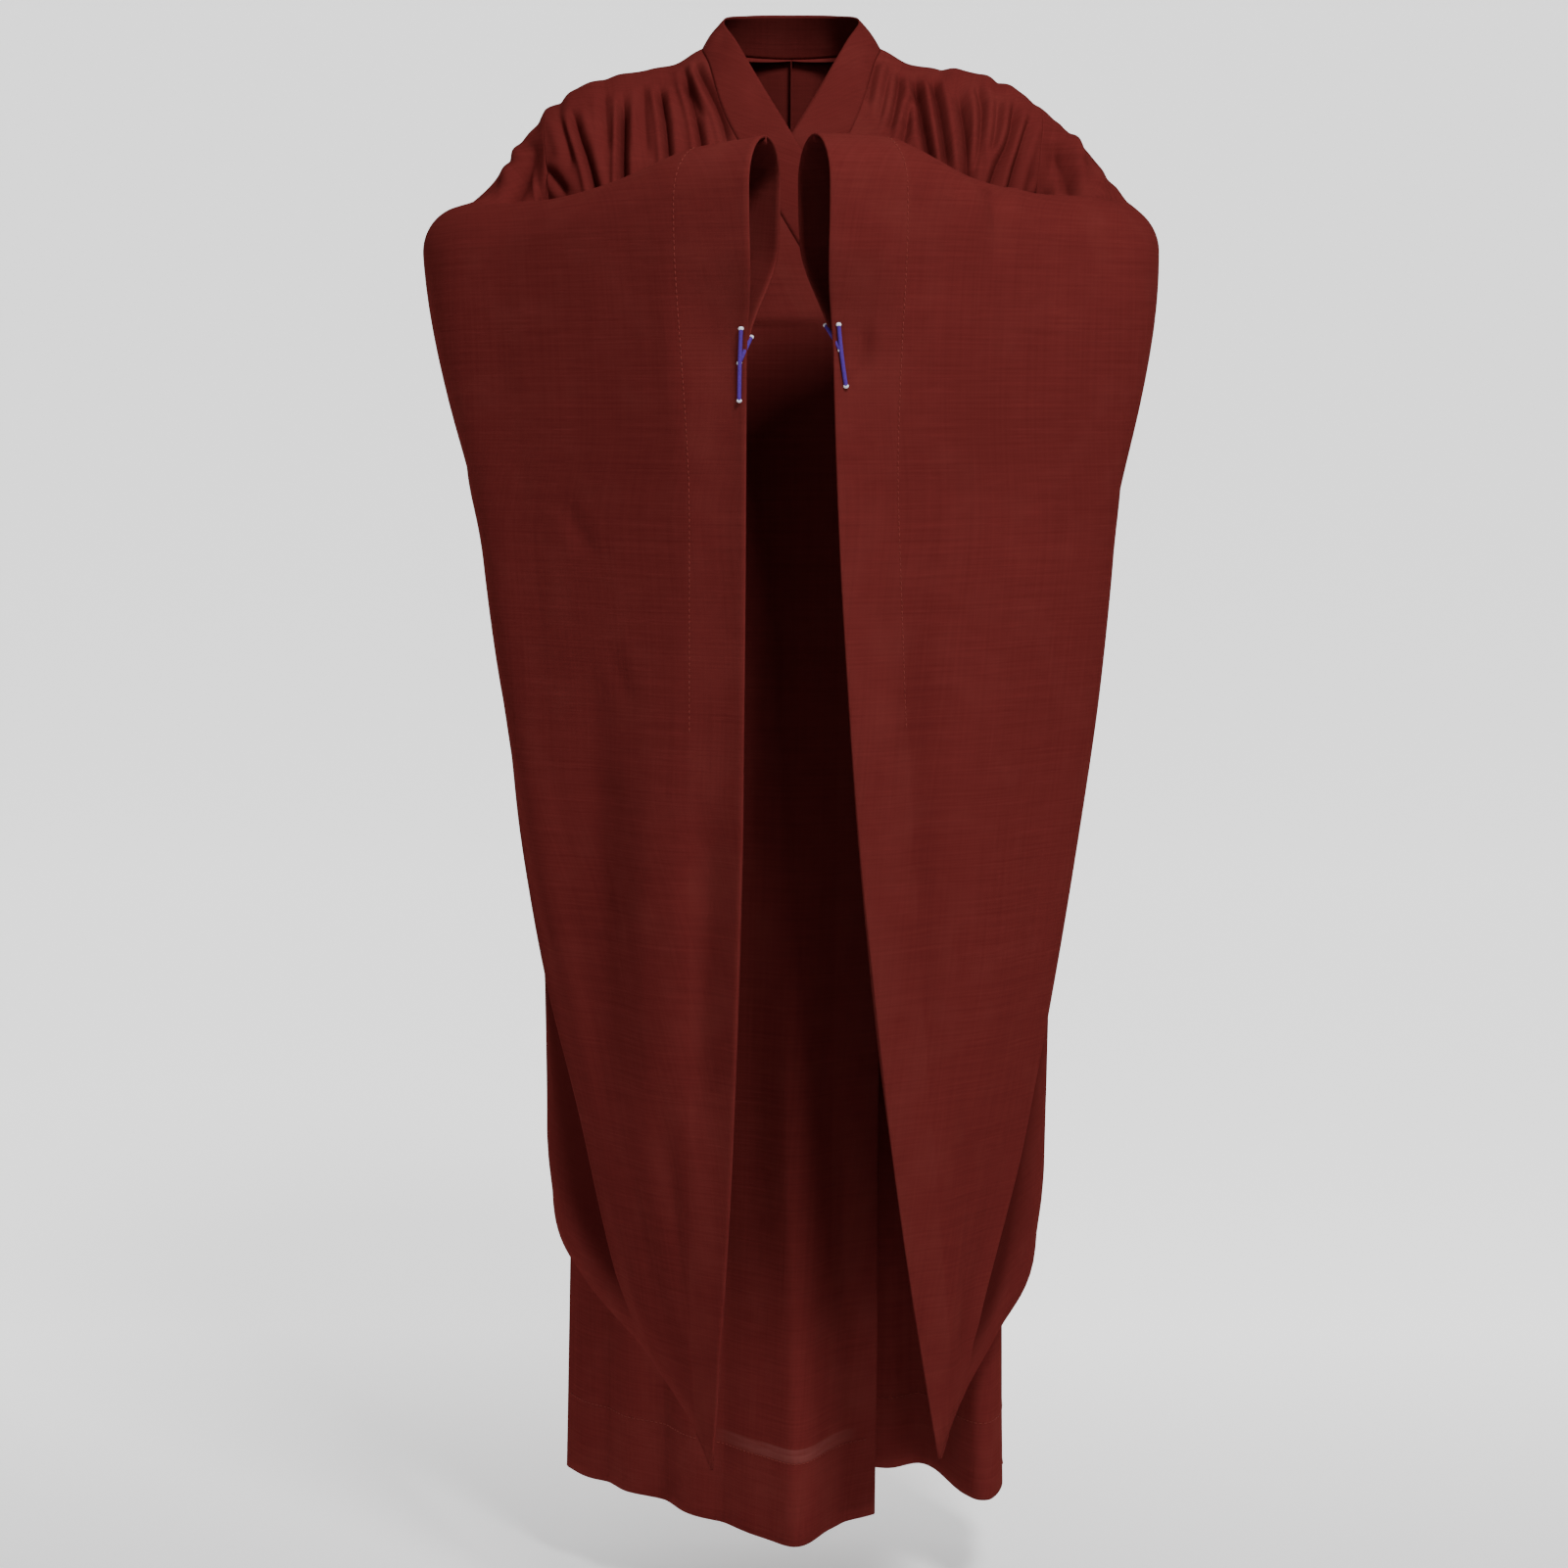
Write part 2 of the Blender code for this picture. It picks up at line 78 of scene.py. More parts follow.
# A fold's raised shoulders lie this many of its widths aside. Its path has this many steps for each place.
SHOULDER_AT = 2.2
SHOULDER_HALF = 1.1
STEPS_PER_PLACE = 4

# Painted shade: cloth that lies behind a fold is coloured darker, as shade falls there. It is wholly shaded at
# this depth.
NARROW_FOLD = 0.008
NARROW_FOLD_SHADE = 0.55
WIDE_FOLD_SHADE = 0.25
FULL_SHADE_DEPTH = 0.0068


class Side(Enum):
    """The wearer's sides, with the sign of X on each."""

    RIGHT = -1
    LEFT = 1


class Chart(Enum):
    """The two axes that a fold's places are read on."""

    FRONT = (0, 2)
    PROFILE = (1, 2)


class EdgeKind(Enum):
    """How an edge of a panel is finished."""

    SEWN = "turned in along a seam"
    HEMMED = "turned back and stitched down"
    FOLDED = "left as the fold of a doubled piece"


def ease(value: np.ndarray | float) -> np.ndarray:
    """Smooth step from 0 to 1.

    Args:
        value: Numbers that may lie outside 0 to 1.

    Returns:
        The eased numbers.
    """
    held = np.clip(value, 0.0, 1.0)
    return held * held * (3.0 - 2.0 * held)


def smooth_through(knots: Sequence[float], values: Sequence, at: np.ndarray) -> np.ndarray:
    """Read a smooth curve through rows of values.

    Args:
        knots: Rising places at which the values are given.
        values: One row of numbers for each knot.
        at: Places to read.

    Returns:
        One row of numbers for each place.
    """
    spots = np.asarray(knots, dtype=float)
    rows = np.asarray(values, dtype=float).reshape(len(spots), -1)
    slopes = np.gradient(rows, spots, axis=0)
    left = np.clip(np.searchsorted(spots, at, side="right") - 1, 0, len(spots) - 2)
    span = (spots[left + 1] - spots[left])[:, None]
    part = ((at - spots[left]) / span[:, 0])[:, None]
    from_left = (1 + 2 * part) * (1 - part) ** 2 * rows[left] + part * (1 - part) ** 2 * span * slopes[left]
    from_right = part**2 * (3 - 2 * part) * rows[left + 1] + part**2 * (part - 1) * span * slopes[left + 1]
    return from_left + from_right


def unit(vectors: np.ndarray) -> np.ndarray:
    """Scale vectors on the last axis to length 1."""
    return vectors / np.maximum(np.linalg.norm(vectors, axis=-1, keepdims=True), TINY)


def grid_normals(points: np.ndarray, turn: int) -> np.ndarray:
    """Find the outward normals of a grid.

    Args:
        points: Rows by columns by 3.
        turn: 1 or -1, which side of the grid is outward.

    Returns:
        A unit normal for each point.
    """
    return unit(np.cross(np.gradient(points, axis=1), np.gradient(points, axis=0)) * turn)


@dataclass(frozen=True)
class Fold:
    """A trough (or with negative depth a ridge) pressed into a panel along a path on its chart."""

    path: tuple[Place, ...]
    depth: float
    width: float
    lean: float = 0.0
    sharpness: float = 1.7
    start: float = 0.30
    end: float = 0.30
    shoulder: float = 0.35
    chart: Chart = Chart.FRONT

    def press(self, points: np.ndarray) -> np.ndarray:
        """Work out how far each point moves along its outward normal.

        Args:
            points: Rows by columns by 3.

        Returns:
            Rows by columns, in metres.
        """
        places = points[..., list(self.chart.value)]
        line = self._smooth_path()
        steps = np.linalg.norm(np.diff(line, axis=0), axis=1)
        before = np.concatenate(((0.0,), np.cumsum(steps)))
        nearest = np.full(places.shape[:2], np.inf)
        signed = np.zeros_like(nearest)
        travel = np.zeros_like(nearest)
        for index, step in enumerate(steps):
            along = (line[index + 1] - line[index]) / step
            offset = places - line[index]
            reach = np.clip(offset @ along, 0.0, step)
            gap = offset - reach[..., None] * along
            distance = np.linalg.norm(gap, axis=-1)
            closer = distance < nearest
            side = np.sign(along[0] * offset[..., 1] - along[1] * offset[..., 0])
            nearest = np.where(closer, distance, nearest)
            signed = np.where(closer, side * distance, signed)
            travel = np.where(closer, (before[index] + reach) / before[-1], travel)
        width = self.width * (1.0 + self.lean * np.sign(signed))
        spread = np.abs(signed) / width
        trough = -np.exp(-(spread**self.sharpness))
        shoulders = self.shoulder * np.exp(-(((spread - SHOULDER_AT) / SHOULDER_HALF) ** 2))
        fade = ease(travel / max(self.start, TINY)) * ease((1.0 - travel) / max(self.end, TINY))
        return self.depth * (trough + shoulders) * fade

    def _smooth_path(self) -> np.ndarray:
        """Run a smooth line of short straight steps through the path's places.

        Returns:
            The line's points on the chart.
        """
        if len(self.path) < 3:
            return np.array(self.path, dtype=float)
        knots = np.linspace(0.0, 1.0, len(self.path))
        return smooth_through(knots, self.path, np.linspace(0.0, 1.0, STEPS_PER_PLACE * len(self.path)))


@dataclass(frozen=True)
class Edge:
    """The finish of one edge of a panel, and how much cloth is turned at it."""

    kind: EdgeKind
    allowance: float = SEAM_ALLOWANCE


SEAM = Edge(EdgeKind.SEWN)
FOOT_SEAM = Edge(EdgeKind.SEWN, FOOT_ALLOWANCE)
FOLD_EDGE = Edge(EdgeKind.FOLDED, 0.0)


@dataclass
class Panel:
    """One cut piece of cloth on its grid, from its form to its finished mesh."""

    name: str
    points: np.ndarray
    turn: int
    top: Edge
    bottom: Edge
    first: Edge
    last: Edge
    folds: tuple[Fold, ...] = ()
    thickness: float = CLOTH_THICKNESS
    crease: np.ndarray | None = None
    shape: np.ndarray = field(init=False)
    outward: np.ndarray = field(init=False)
    tucked: np.ndarray = field(init=False)

    def __post_init__(self) -> None:
        """Keep the unfolded form, by which neighbours find each other."""
        self.shape = self.points.copy()
        self.outward = grid_normals(self.points, self.turn)
        self.tucked = np.zeros(self.points.shape[:2])

    def spot(self, place: Place, lift: float) -> np.ndarray:
        """Find the panel's point nearest to a place in the front view, raised off the cloth.

        Args:
            place: X and Z.
            lift: Height above the middle of the cloth.

        Returns:
            The point.
        """
        gap = np.hypot(self.points[..., 0] - place[0], self.points[..., 2] - place[1])
        row, column = np.unravel_index(np.argmin(gap), gap.shape)
        return self.points[row, column] + grid_normals(self.points, self.turn)[row, column] * lift

    def press_folds(self) -> None:
        """Move each point by what all the folds ask of it, and note how much painted shade it gets for lying
        behind them.
        """
        move = np.zeros(self.points.shape[:2]) if self.crease is None else self.crease.copy()
        deep = -move
        for fold in self.folds:
            pressed = fold.press(self.shape)
            move += pressed
            deep -= pressed * (NARROW_FOLD_SHADE if fold.width < NARROW_FOLD else WIDE_FOLD_SHADE)
        self.points = self.shape + self.outward * move[..., None]
        self.tucked = ease(deep / FULL_SHADE_DEPTH)

    def rims(self) -> Iterable[tuple[int, int]]:
        """Give the grid places along the four edges.

        Returns:
            A row and a column for each place.
        """
        rows, columns = self.points.shape[:2]
        for row in range(rows):
            for column in range(columns):
                if row in (0, rows - 1) or column in (0, columns - 1):
                    yield row, column

    def settle_rims(self, moved: dict[tuple[int, int], np.ndarray], reach: float) -> None:
        """Move rim points to where their neighbours agreed, and ease the cloth beside them after.

        Args:
            moved: The new place of each rim point that has neighbours.
            reach: How far into the panel the move is felt, in metres.
        """
        rows, columns = self.points.shape[:2]
        shift = np.zeros_like(self.points)
        for (row, column), place in moved.items():
            shift[row, column] = place - self.points[row, column]
        for axis, count in ((0, rows), (1, columns)):
            for edge in (0, count - 1):
                rim_shift = np.take(shift, edge, axis=axis)
                order = range(count) if edge == 0 else range(count - 1, -1, -1)
                rim = np.take(self.shape, edge, axis=axis)
                beside = list(order)[1 : count // 3]
                for index in beside:
                    line = np.take(self.shape, index, axis=axis)
                    distance = np.linalg.norm(line - rim, axis=1, keepdims=True)
                    gentle = rim_shift * np.exp(-((distance / reach) ** 2))
                    if axis == 0:
                        self.points[index, 1:-1] += gentle[1:-1]
                    else:
                        self.points[1:-1, index] += gentle[1:-1]
        for (row, column), place in moved.items():
            self.points[row, column] = place

    def build(self) -> bpy.types.Object:
        """Turn the edges, give the cloth its thickness and make the mesh.

        Returns:
            The finished piece, with its place in its mesh.
        """
        self._draw_back()
        points, layer, tucked = self._turned_edges()
        across, down = self._weave_lengths(points)
        normals = grid_normals(points, self.turn)
        rows, columns = points.shape[:2]
        outside = points + normals * self.thickness / 2
        inside = points - normals * self.thickness / 2
        verts = np.concatenate((outside.reshape(-1, 3), inside.reshape(-1, 3)))
        index = np.arange(rows * columns).reshape(rows, columns)
        corners = (index[:-1, :-1], index[:-1, 1:], index[1:, 1:], index[1:, :-1])
        quads = np.stack(corners, axis=-1).reshape(-1, 4)
        if self.turn < 0:
            quads = quads[:, ::-1]
        rim = np.concatenate((index[0], index[1:, -1], index[-1, -2::-1], index[-2:0:-1, 0]))
        after = np.roll(rim, -1)
        back = rows * columns
        sides = np.stack((after, rim, rim + back, after + back), axis=-1)
        if self.turn < 0:
            sides = sides[:, ::-1]
        faces = np.concatenate((quads, quads[:, ::-1] + back, sides))
        mesh = bpy.data.meshes.new(self.name)
        mesh.from_pydata(verts.tolist(), [], faces.tolist())
        self._lay_weave(mesh, faces, np.tile(across.ravel(), 2), np.tile(down.ravel(), 2))
        # Hems are marked where the cloth is doubled, and folds with the painted shade behind them.
        for label, values in (("doubled", layer), ("tucked", tucked)):
            attribute = mesh.attributes.new(label, "FLOAT", "POINT")
            attribute.data.foreach_set("value", np.tile(values.ravel(), 2).astype(np.float32))
        mesh.shade_smooth()
        mesh.update()
        piece = bpy.data.objects.new(self.name, mesh)
        bpy.context.collection.objects.link(piece)
        return piece

    def _draw_back(self) -> None:
        """Pull sewn edges back by half of the space at a seam."""
        for axis, near, far in ((0, self.top, self.bottom), (1, self.first, self.last)):
            for edge, inside, finish in ((0, 1, near), (-1, -2, far)):
                if finish.kind is not EdgeKind.SEWN:
                    continue
                rim = np.take(self.points, edge, axis=axis)
                toward = unit(np.take(self.points, inside, axis=axis) - rim)
                if axis == 0:
                    self.points[edge] = rim + toward * SEAM_SPACE
                else:
                    self.points[:, edge] = rim + toward * SEAM_SPACE

    def _turned_edges(self) -> tuple[np.ndarray, np.ndarray, np.ndarray]:
        """Add the cloth that is turned at each edge.

        Returns:
            The grown grid, for each of its points 1 where the cloth is doubled by a hem, and its share of
            painted shade behind a fold.
        """
        points = self.points
        facing = grid_normals(points, self.turn)
        layer = np.zeros(points.shape[:2])
        single = np.ones(points.shape[:2])
        tucked = self.tucked
        for axis, near, far in ((0, self.top, self.bottom), (1, self.first, self.last)):
            for edge, finish in ((0, near), (-1, far)):
                stacks = [points, facing, layer, single, tucked]
                if edge == -1:
                    stacks = [np.flip(stack, axis=axis) for stack in stacks]
                if axis == 1:
                    stacks = [np.swapaxes(stack, 0, 1) for stack in stacks]
                stacks = self._turn_first_row(stacks, finish)
                if axis == 1:
                    stacks = [np.swapaxes(stack, 0, 1) for stack in stacks]
                if edge == -1:
                    stacks = [np.flip(stack, axis=axis) for stack in stacks]
                points, facing, layer, single, tucked = stacks
        return points, layer, tucked

    @staticmethod
    def _turn_first_row(stacks: list[np.ndarray], finish: Edge) -> list[np.ndarray]:
        """Turn cloth at the first row of a grid.

        Args:
            stacks: Points, outward normals, doubled share, single share and each point's share of painted
                shade.
            finish: The edge's finish.

        Returns:
            The same five, with rows added in front.
        """
        points, facing, layer, single, tucked = stacks
        if finish.kind is EdgeKind.FOLDED:
            return stacks
        if finish.kind is EdgeKind.SEWN:
            depth = SEAM_TURN_LEAST + (finish.allowance - SEAM_TURN_LEAST) * single[0]
            added = [points[0] - facing[0] * (depth * step)[:, None] for step in SEAM_TURN_STEPS]
            copies = len(SEAM_TURN_STEPS)
            return [
                np.concatenate((np.array(added), points)),
                np.concatenate((np.repeat(facing[:1], copies, axis=0), facing)),
                np.concatenate((np.repeat(layer[:1], copies, axis=0), layer)),
                np.concatenate((np.repeat(single[:1], copies, axis=0), single)),
                np.concatenate((np.repeat(tucked[:1], copies, axis=0), tucked)),
            ]
        spacing = np.linalg.norm(np.diff(points, axis=0), axis=2).mean(axis=1)
        lines = int(np.searchsorted(np.cumsum(spacing), finish.allowance)) + 1
        under = points[1 : lines + 1] - facing[1 : lines + 1] * LAYER_SPACE
        outward = unit(points[0] - points[1])
        roll = points[0] - facing[0] * LAYER_SPACE / 2 + outward * LAYER_SPACE / 2
        low_roll = points[0] - facing[0] * LAYER_SPACE
        marked = layer.copy()
        marked[: lines + 1] = 1.0
        alone = single.copy()
        alone[: lines + 1] = 0.0
        grown = np.concatenate((under[::-1], low_roll[None], roll[None], points))
        faced = np.concatenate((facing[lines:0:-1], facing[:1], facing[:1], facing))
        marks = np.concatenate((np.ones((lines + 2, layer.shape[1])), marked))
        alone = np.concatenate((np.zeros((lines + 2, layer.shape[1])), alone))
        deep = np.concatenate((tucked[lines:0:-1], tucked[:1], tucked[:1], tucked))
        return [grown, faced, marks, alone, deep]

    @staticmethod
    def _weave_lengths(points: np.ndarray) -> tuple[np.ndarray, np.ndarray]:
        """Measure the cloth across each row, and up from the last row: by height where it hangs plumb.

        Args:
            points: Rows by columns by 3.

        Returns:
            The place across and the place down of each point, in metres of cloth.
        """
        across = np.zeros(points.shape[:2])
        across[:, 1:] = np.cumsum(np.linalg.norm(np.diff(points, axis=1), axis=2), axis=1)
        across -= across[:, across.shape[1] // 2][:, None]
        along = unit(np.gradient(points, axis=1))[:-1]
        steps = np.diff(points, axis=0)
        square = steps - np.sum(steps * along, axis=2, keepdims=True) * along
        lengths = np.linalg.norm(square, axis=2)
        plumb = np.abs(steps[..., 2])
        steep = ease((plumb / np.maximum(lengths, TINY) - PLUMB_FROM) / (1.0 - PLUMB_FROM))
        left = np.cumsum((plumb * steep + lengths * (1.0 - steep))[::-1], axis=0)[::-1]
        down = np.repeat(-points[-1:, :, 2], len(points), axis=0)
        down[:-1] -= left
        return across, down

    @staticmethod
    def _lay_weave(mesh: bpy.types.Mesh, faces: np.ndarray, across: np.ndarray, down: np.ndarray) -> None:
        """Store the cloth's own lengths as the map that the weave follows.

        Args:
            mesh: The panel's mesh.
            faces: The corners of each face.
            across: Each point's place across the cloth.
            down: Each point's place down the cloth.
        """
        layer = mesh.uv_layers.new(name="weave")
        corners = faces.ravel()
        values = np.stack((across[corners], down[corners]), axis=1).astype(np.float32)
        layer.data.foreach_set("uv", values.ravel())


def sew_together(panels: Sequence[Panel]) -> None:
    """Bring the panels that meet along a seam to one line there, after their folds are pressed.

    Args:
        panels: All the panels of the robe.
    """
    meeting: dict[tuple[int, ...], list[tuple[Panel, int, int]]] = {}
    for panel in panels:
        for row, column in panel.rims():
            key = tuple(np.round(panel.shape[row, column] * PLACES_PER_METRE).astype(int))
            meeting.setdefault(key, []).append((panel, row, column))
    moves: dict[str, dict[tuple[int, int], np.ndarray]] = {panel.name: {} for panel in panels}
    for members in meeting.values():
        owners = {panel.name for panel, _, _ in members}
        if len(owners) < 2:
            continue
        middle = sum(panel.points[row, column] for panel, row, column in members) / len(members)
        for panel, row, column in members:
            moves[panel.name][(row, column)] = middle
    for panel in panels:
        panel.settle_rims(moves[panel.name], SEAM_REACH)


class SleeveStation(NamedTuple):
    """One hanging section of a sleeve. `out` is the distance from the middle of the body.

    `share` is its place along the sleeve, the top lies on the arm and the foot is the bottom of the bag. The
    section bows out between them by `bow_out` and `bow_y`, and the halves are half of its width at the arm and
    in the bag. It faces the angles `face_top` and `face_foot`, in degrees.
    """

    share: float
    top_out: float
    top_y: float
    top_z: float
    foot_out: float
    foot_y: float
    foot_z: float
    bow_out: float
    bow_y: float
    lean: float
    arm_half: float
    bag_half: float
    face_top: float
    face_foot: float


RIGHT_STATIONS = tuple(
    SleeveStation(*row)
    for row in (
        (0.00, 0.232, 0.010, -0.036, 0.2072, 0.004, -0.400, 0.000, 0.000, 1.0, 0.085, 0.004, 90, 90),
        (0.05, 0.247, 0.002, -0.056, 0.217, 0.004, -0.550, 0.000, 0.000, 1.0, 0.078, 0.005, 84, 30),
        (0.11, 0.262, -0.020, -0.080, 0.223, 0.004, -0.740, -0.004, 0.000, 1.0, 0.070, 0.006, 73, 10),
        (0.20, 0.278, -0.050, -0.108, 0.228, 0.000, -0.980, -0.024, 0.000, 1.0, 0.058, 0.007, 52, 0),
        (0.31, 0.296, -0.090, -0.127, 0.231, -0.044, -1.098, -0.032, 0.000, 1.0, 0.049, 0.007, 22, -12),
        (0.42, 0.293, -0.138, -0.131, 0.194, -0.136, -1.143, 0.006, 0.000, 1.0, 0.046, 0.008, -8, -24),
        (0.52, 0.260, -0.185, -0.132, 0.138, -0.228, -1.178, 0.047, -0.006, 1.0, 0.045, 0.009, -34, -33),
        (0.64, 0.205, -0.232, -0.130, 0.122, -0.256, -1.193, 0.035, -0.004, 1.1, 0.045, 0.012, -46, -40),
        (0.77, 0.146, -0.285, -0.117, 0.104, -0.282, -1.211, 0.016, 0.000, 1.4, 0.045, 0.014, -53, -45),
        (0.90, 0.082, -0.336, -0.093, 0.086, -0.309, -1.234, 0.004, 0.002, 2.1, 0.043, 0.012, -60, -48),
        (1.00, 0.038, -0.374, -0.085, 0.072, -0.330, -1.262, 0.002, 0.004, 3.0, 0.040, 0.006, -70, -50),
    )
)

LEFT_STATIONS = tuple(
    SleeveStation(*row)
    for row in (
        (0.00, 0.233, 0.010, -0.036, 0.2072, 0.004, -0.400, 0.000, 0.000, 1.0, 0.085, 0.004, 90, 90),
        (0.05, 0.250, 0.002, -0.052, 0.219, 0.004, -0.560, 0.000, 0.000, 1.0, 0.078, 0.005, 84, 30),
        (0.11, 0.267, -0.020, -0.071, 0.228, 0.004, -0.760, 0.000, 0.000, 1.0, 0.070, 0.006, 73, 10),
        (0.20, 0.287, -0.050, -0.096, 0.239, 0.000, -1.020, -0.018, 0.000, 1.0, 0.058, 0.007, 52, 0),
        (0.31, 0.296, -0.090, -0.120, 0.237, -0.044, -1.146, -0.018, 0.000, 1.0, 0.048, 0.007, 22, -12),
        (0.42, 0.287, -0.138, -0.128, 0.197, -0.132, -1.193, 0.018, 0.000, 1.0, 0.045, 0.008, -8, -24),
        (0.52, 0.260, -0.182, -0.127, 0.167, -0.225, -1.210, 0.050, -0.004, 1.0, 0.045, 0.009, -34, -33),
        (0.64, 0.208, -0.230, -0.125, 0.158, -0.256, -1.216, 0.037, -0.004, 1.0, 0.045, 0.012, -46, -40),
        (0.77, 0.146, -0.283, -0.113, 0.150, -0.282, -1.223, 0.016, 0.000, 1.2, 0.045, 0.014, -53, -45),
        (0.90, 0.080, -0.336, -0.084, 0.141, -0.309, -1.236, 0.002, 0.002, 1.6, 0.043, 0.012, -60, -48),
        (1.00, 0.034, -0.374, -0.083, 0.133, -0.330, -1.252, 0.000, 0.004, 2.1, 0.040, 0.006, -70, -50),
    )
)


@dataclass(frozen=True)
class ElbowFold:
    """The crisp fold down a hanging sleeve, in front of which the cloth behind it lies deeper.

    `path` runs down the front view, as distances from the middle of the body with heights.
    """

    path: tuple[Place, ...]
    step: float = 0.0060
    hollow: float = 0.0070
    hollow_at: float = 0.040
    reach: float = 0.120
    lip: float = 0.0034
    lip_reach: float = 0.008
    starts: float = -0.30
    full_from: float = -0.60
    foot_easing: float = 0.10
    column_share: float = 0.44
    swing_from: float = 0.05
    swing_to: float = 0.86
    beside: tuple[float, ...] = (0.0014, 0.0030, 0.0060, 0.0110)
    cleared: float = 0.0145
    calm_rows: int = 6

    def columns(self, count: int) -> np.ndarray:
        """Spread columns evenly along a sleeve, and closely beside the fold.

        Args:
            count: How many spaces the even columns leave.

        Returns:
            The columns' shares of the sleeve's length.
        """
        even = np.linspace(0.0, 1.0, count + 1)
        far = even[np.abs(even - self.column_share) > self.cleared]
        beside = np.array(self.beside)
        near = self.column_share + np.concatenate((-beside, (0.0,), beside))
        return np.sort(np.concatenate((far, near)))

    def swung(self, columns: np.ndarray, out: np.ndarray, height: np.ndarray) -> np.ndarray:
        """Swing the columns on each row so that one of them runs down the fold.

        Args:
            columns: The columns' shares of the sleeve's length.
            out: The layer's distance from the middle of the body, rows by columns.
            height: The layer's heights, rows by columns.

        Returns:
            A share for each row and column.
        """
        places = np.array(self.path)
        wanted = np.interp(-height, -places[:, 1], places[:, 0])
        over = out - wanted
        found = np.empty(len(out))
        for row, gaps in enumerate(over):
            outside = np.flatnonzero(gaps >= 0.0)
            if len(outside) == 0 or outside[-1] == len(columns) - 1:
                found[row] = columns[np.argmax(out[row])]
                continue
            last = outside[-1]
            part = gaps[last] / (gaps[last] - gaps[last + 1])
            found[row] = columns[last] + part * (columns[last + 1] - columns[last])
        window = np.hanning(2 * self.calm_rows + 3)[1:-1]
        calm = np.convolve(np.pad(found, self.calm_rows, mode="edge"), window / window.sum(), mode="valid")
        rise = ease((columns - self.swing_from) / (self.column_share - self.swing_from))
        sink = ease((self.swing_to - columns) / (self.swing_to - self.column_share))
        return columns + (calm - self.column_share)[:, None] * np.minimum(rise, sink)

    def press(self, points: np.ndarray, columns: np.ndarray, fall: np.ndarray) -> np.ndarray:
        """Work out how far the fold moves each point along its outward normal.

        Args:
            points: The layer, rows by columns by 3.
            columns: The columns' shares before they were swung.
            fall: The share of the drop at each grid place.

        Returns:
            Rows by columns, in metres.
        """
        lengths = np.zeros(points.shape[:2])
        lengths[:, 1:] = np.cumsum(np.linalg.norm(np.diff(points, axis=1), axis=2), axis=1)
        middle = int(np.argmin(np.abs(columns - self.column_share)))
        across = lengths - lengths[:, middle][:, None]
        behind = np.abs(across)
        deep = self.step * np.exp(-behind / self.reach)
        deep = deep + self.hollow * behind / self.hollow_at * np.exp(1.0 - behind / self.hollow_at)
        move = np.where(across < 0.0, -deep, self.lip * np.exp(-behind / self.lip_reach))
        fade = ease((self.starts - points[..., 2]) / (self.starts - self.full_from))
        return move * fade * ease((1.0 - fall) / self.foot_easing)


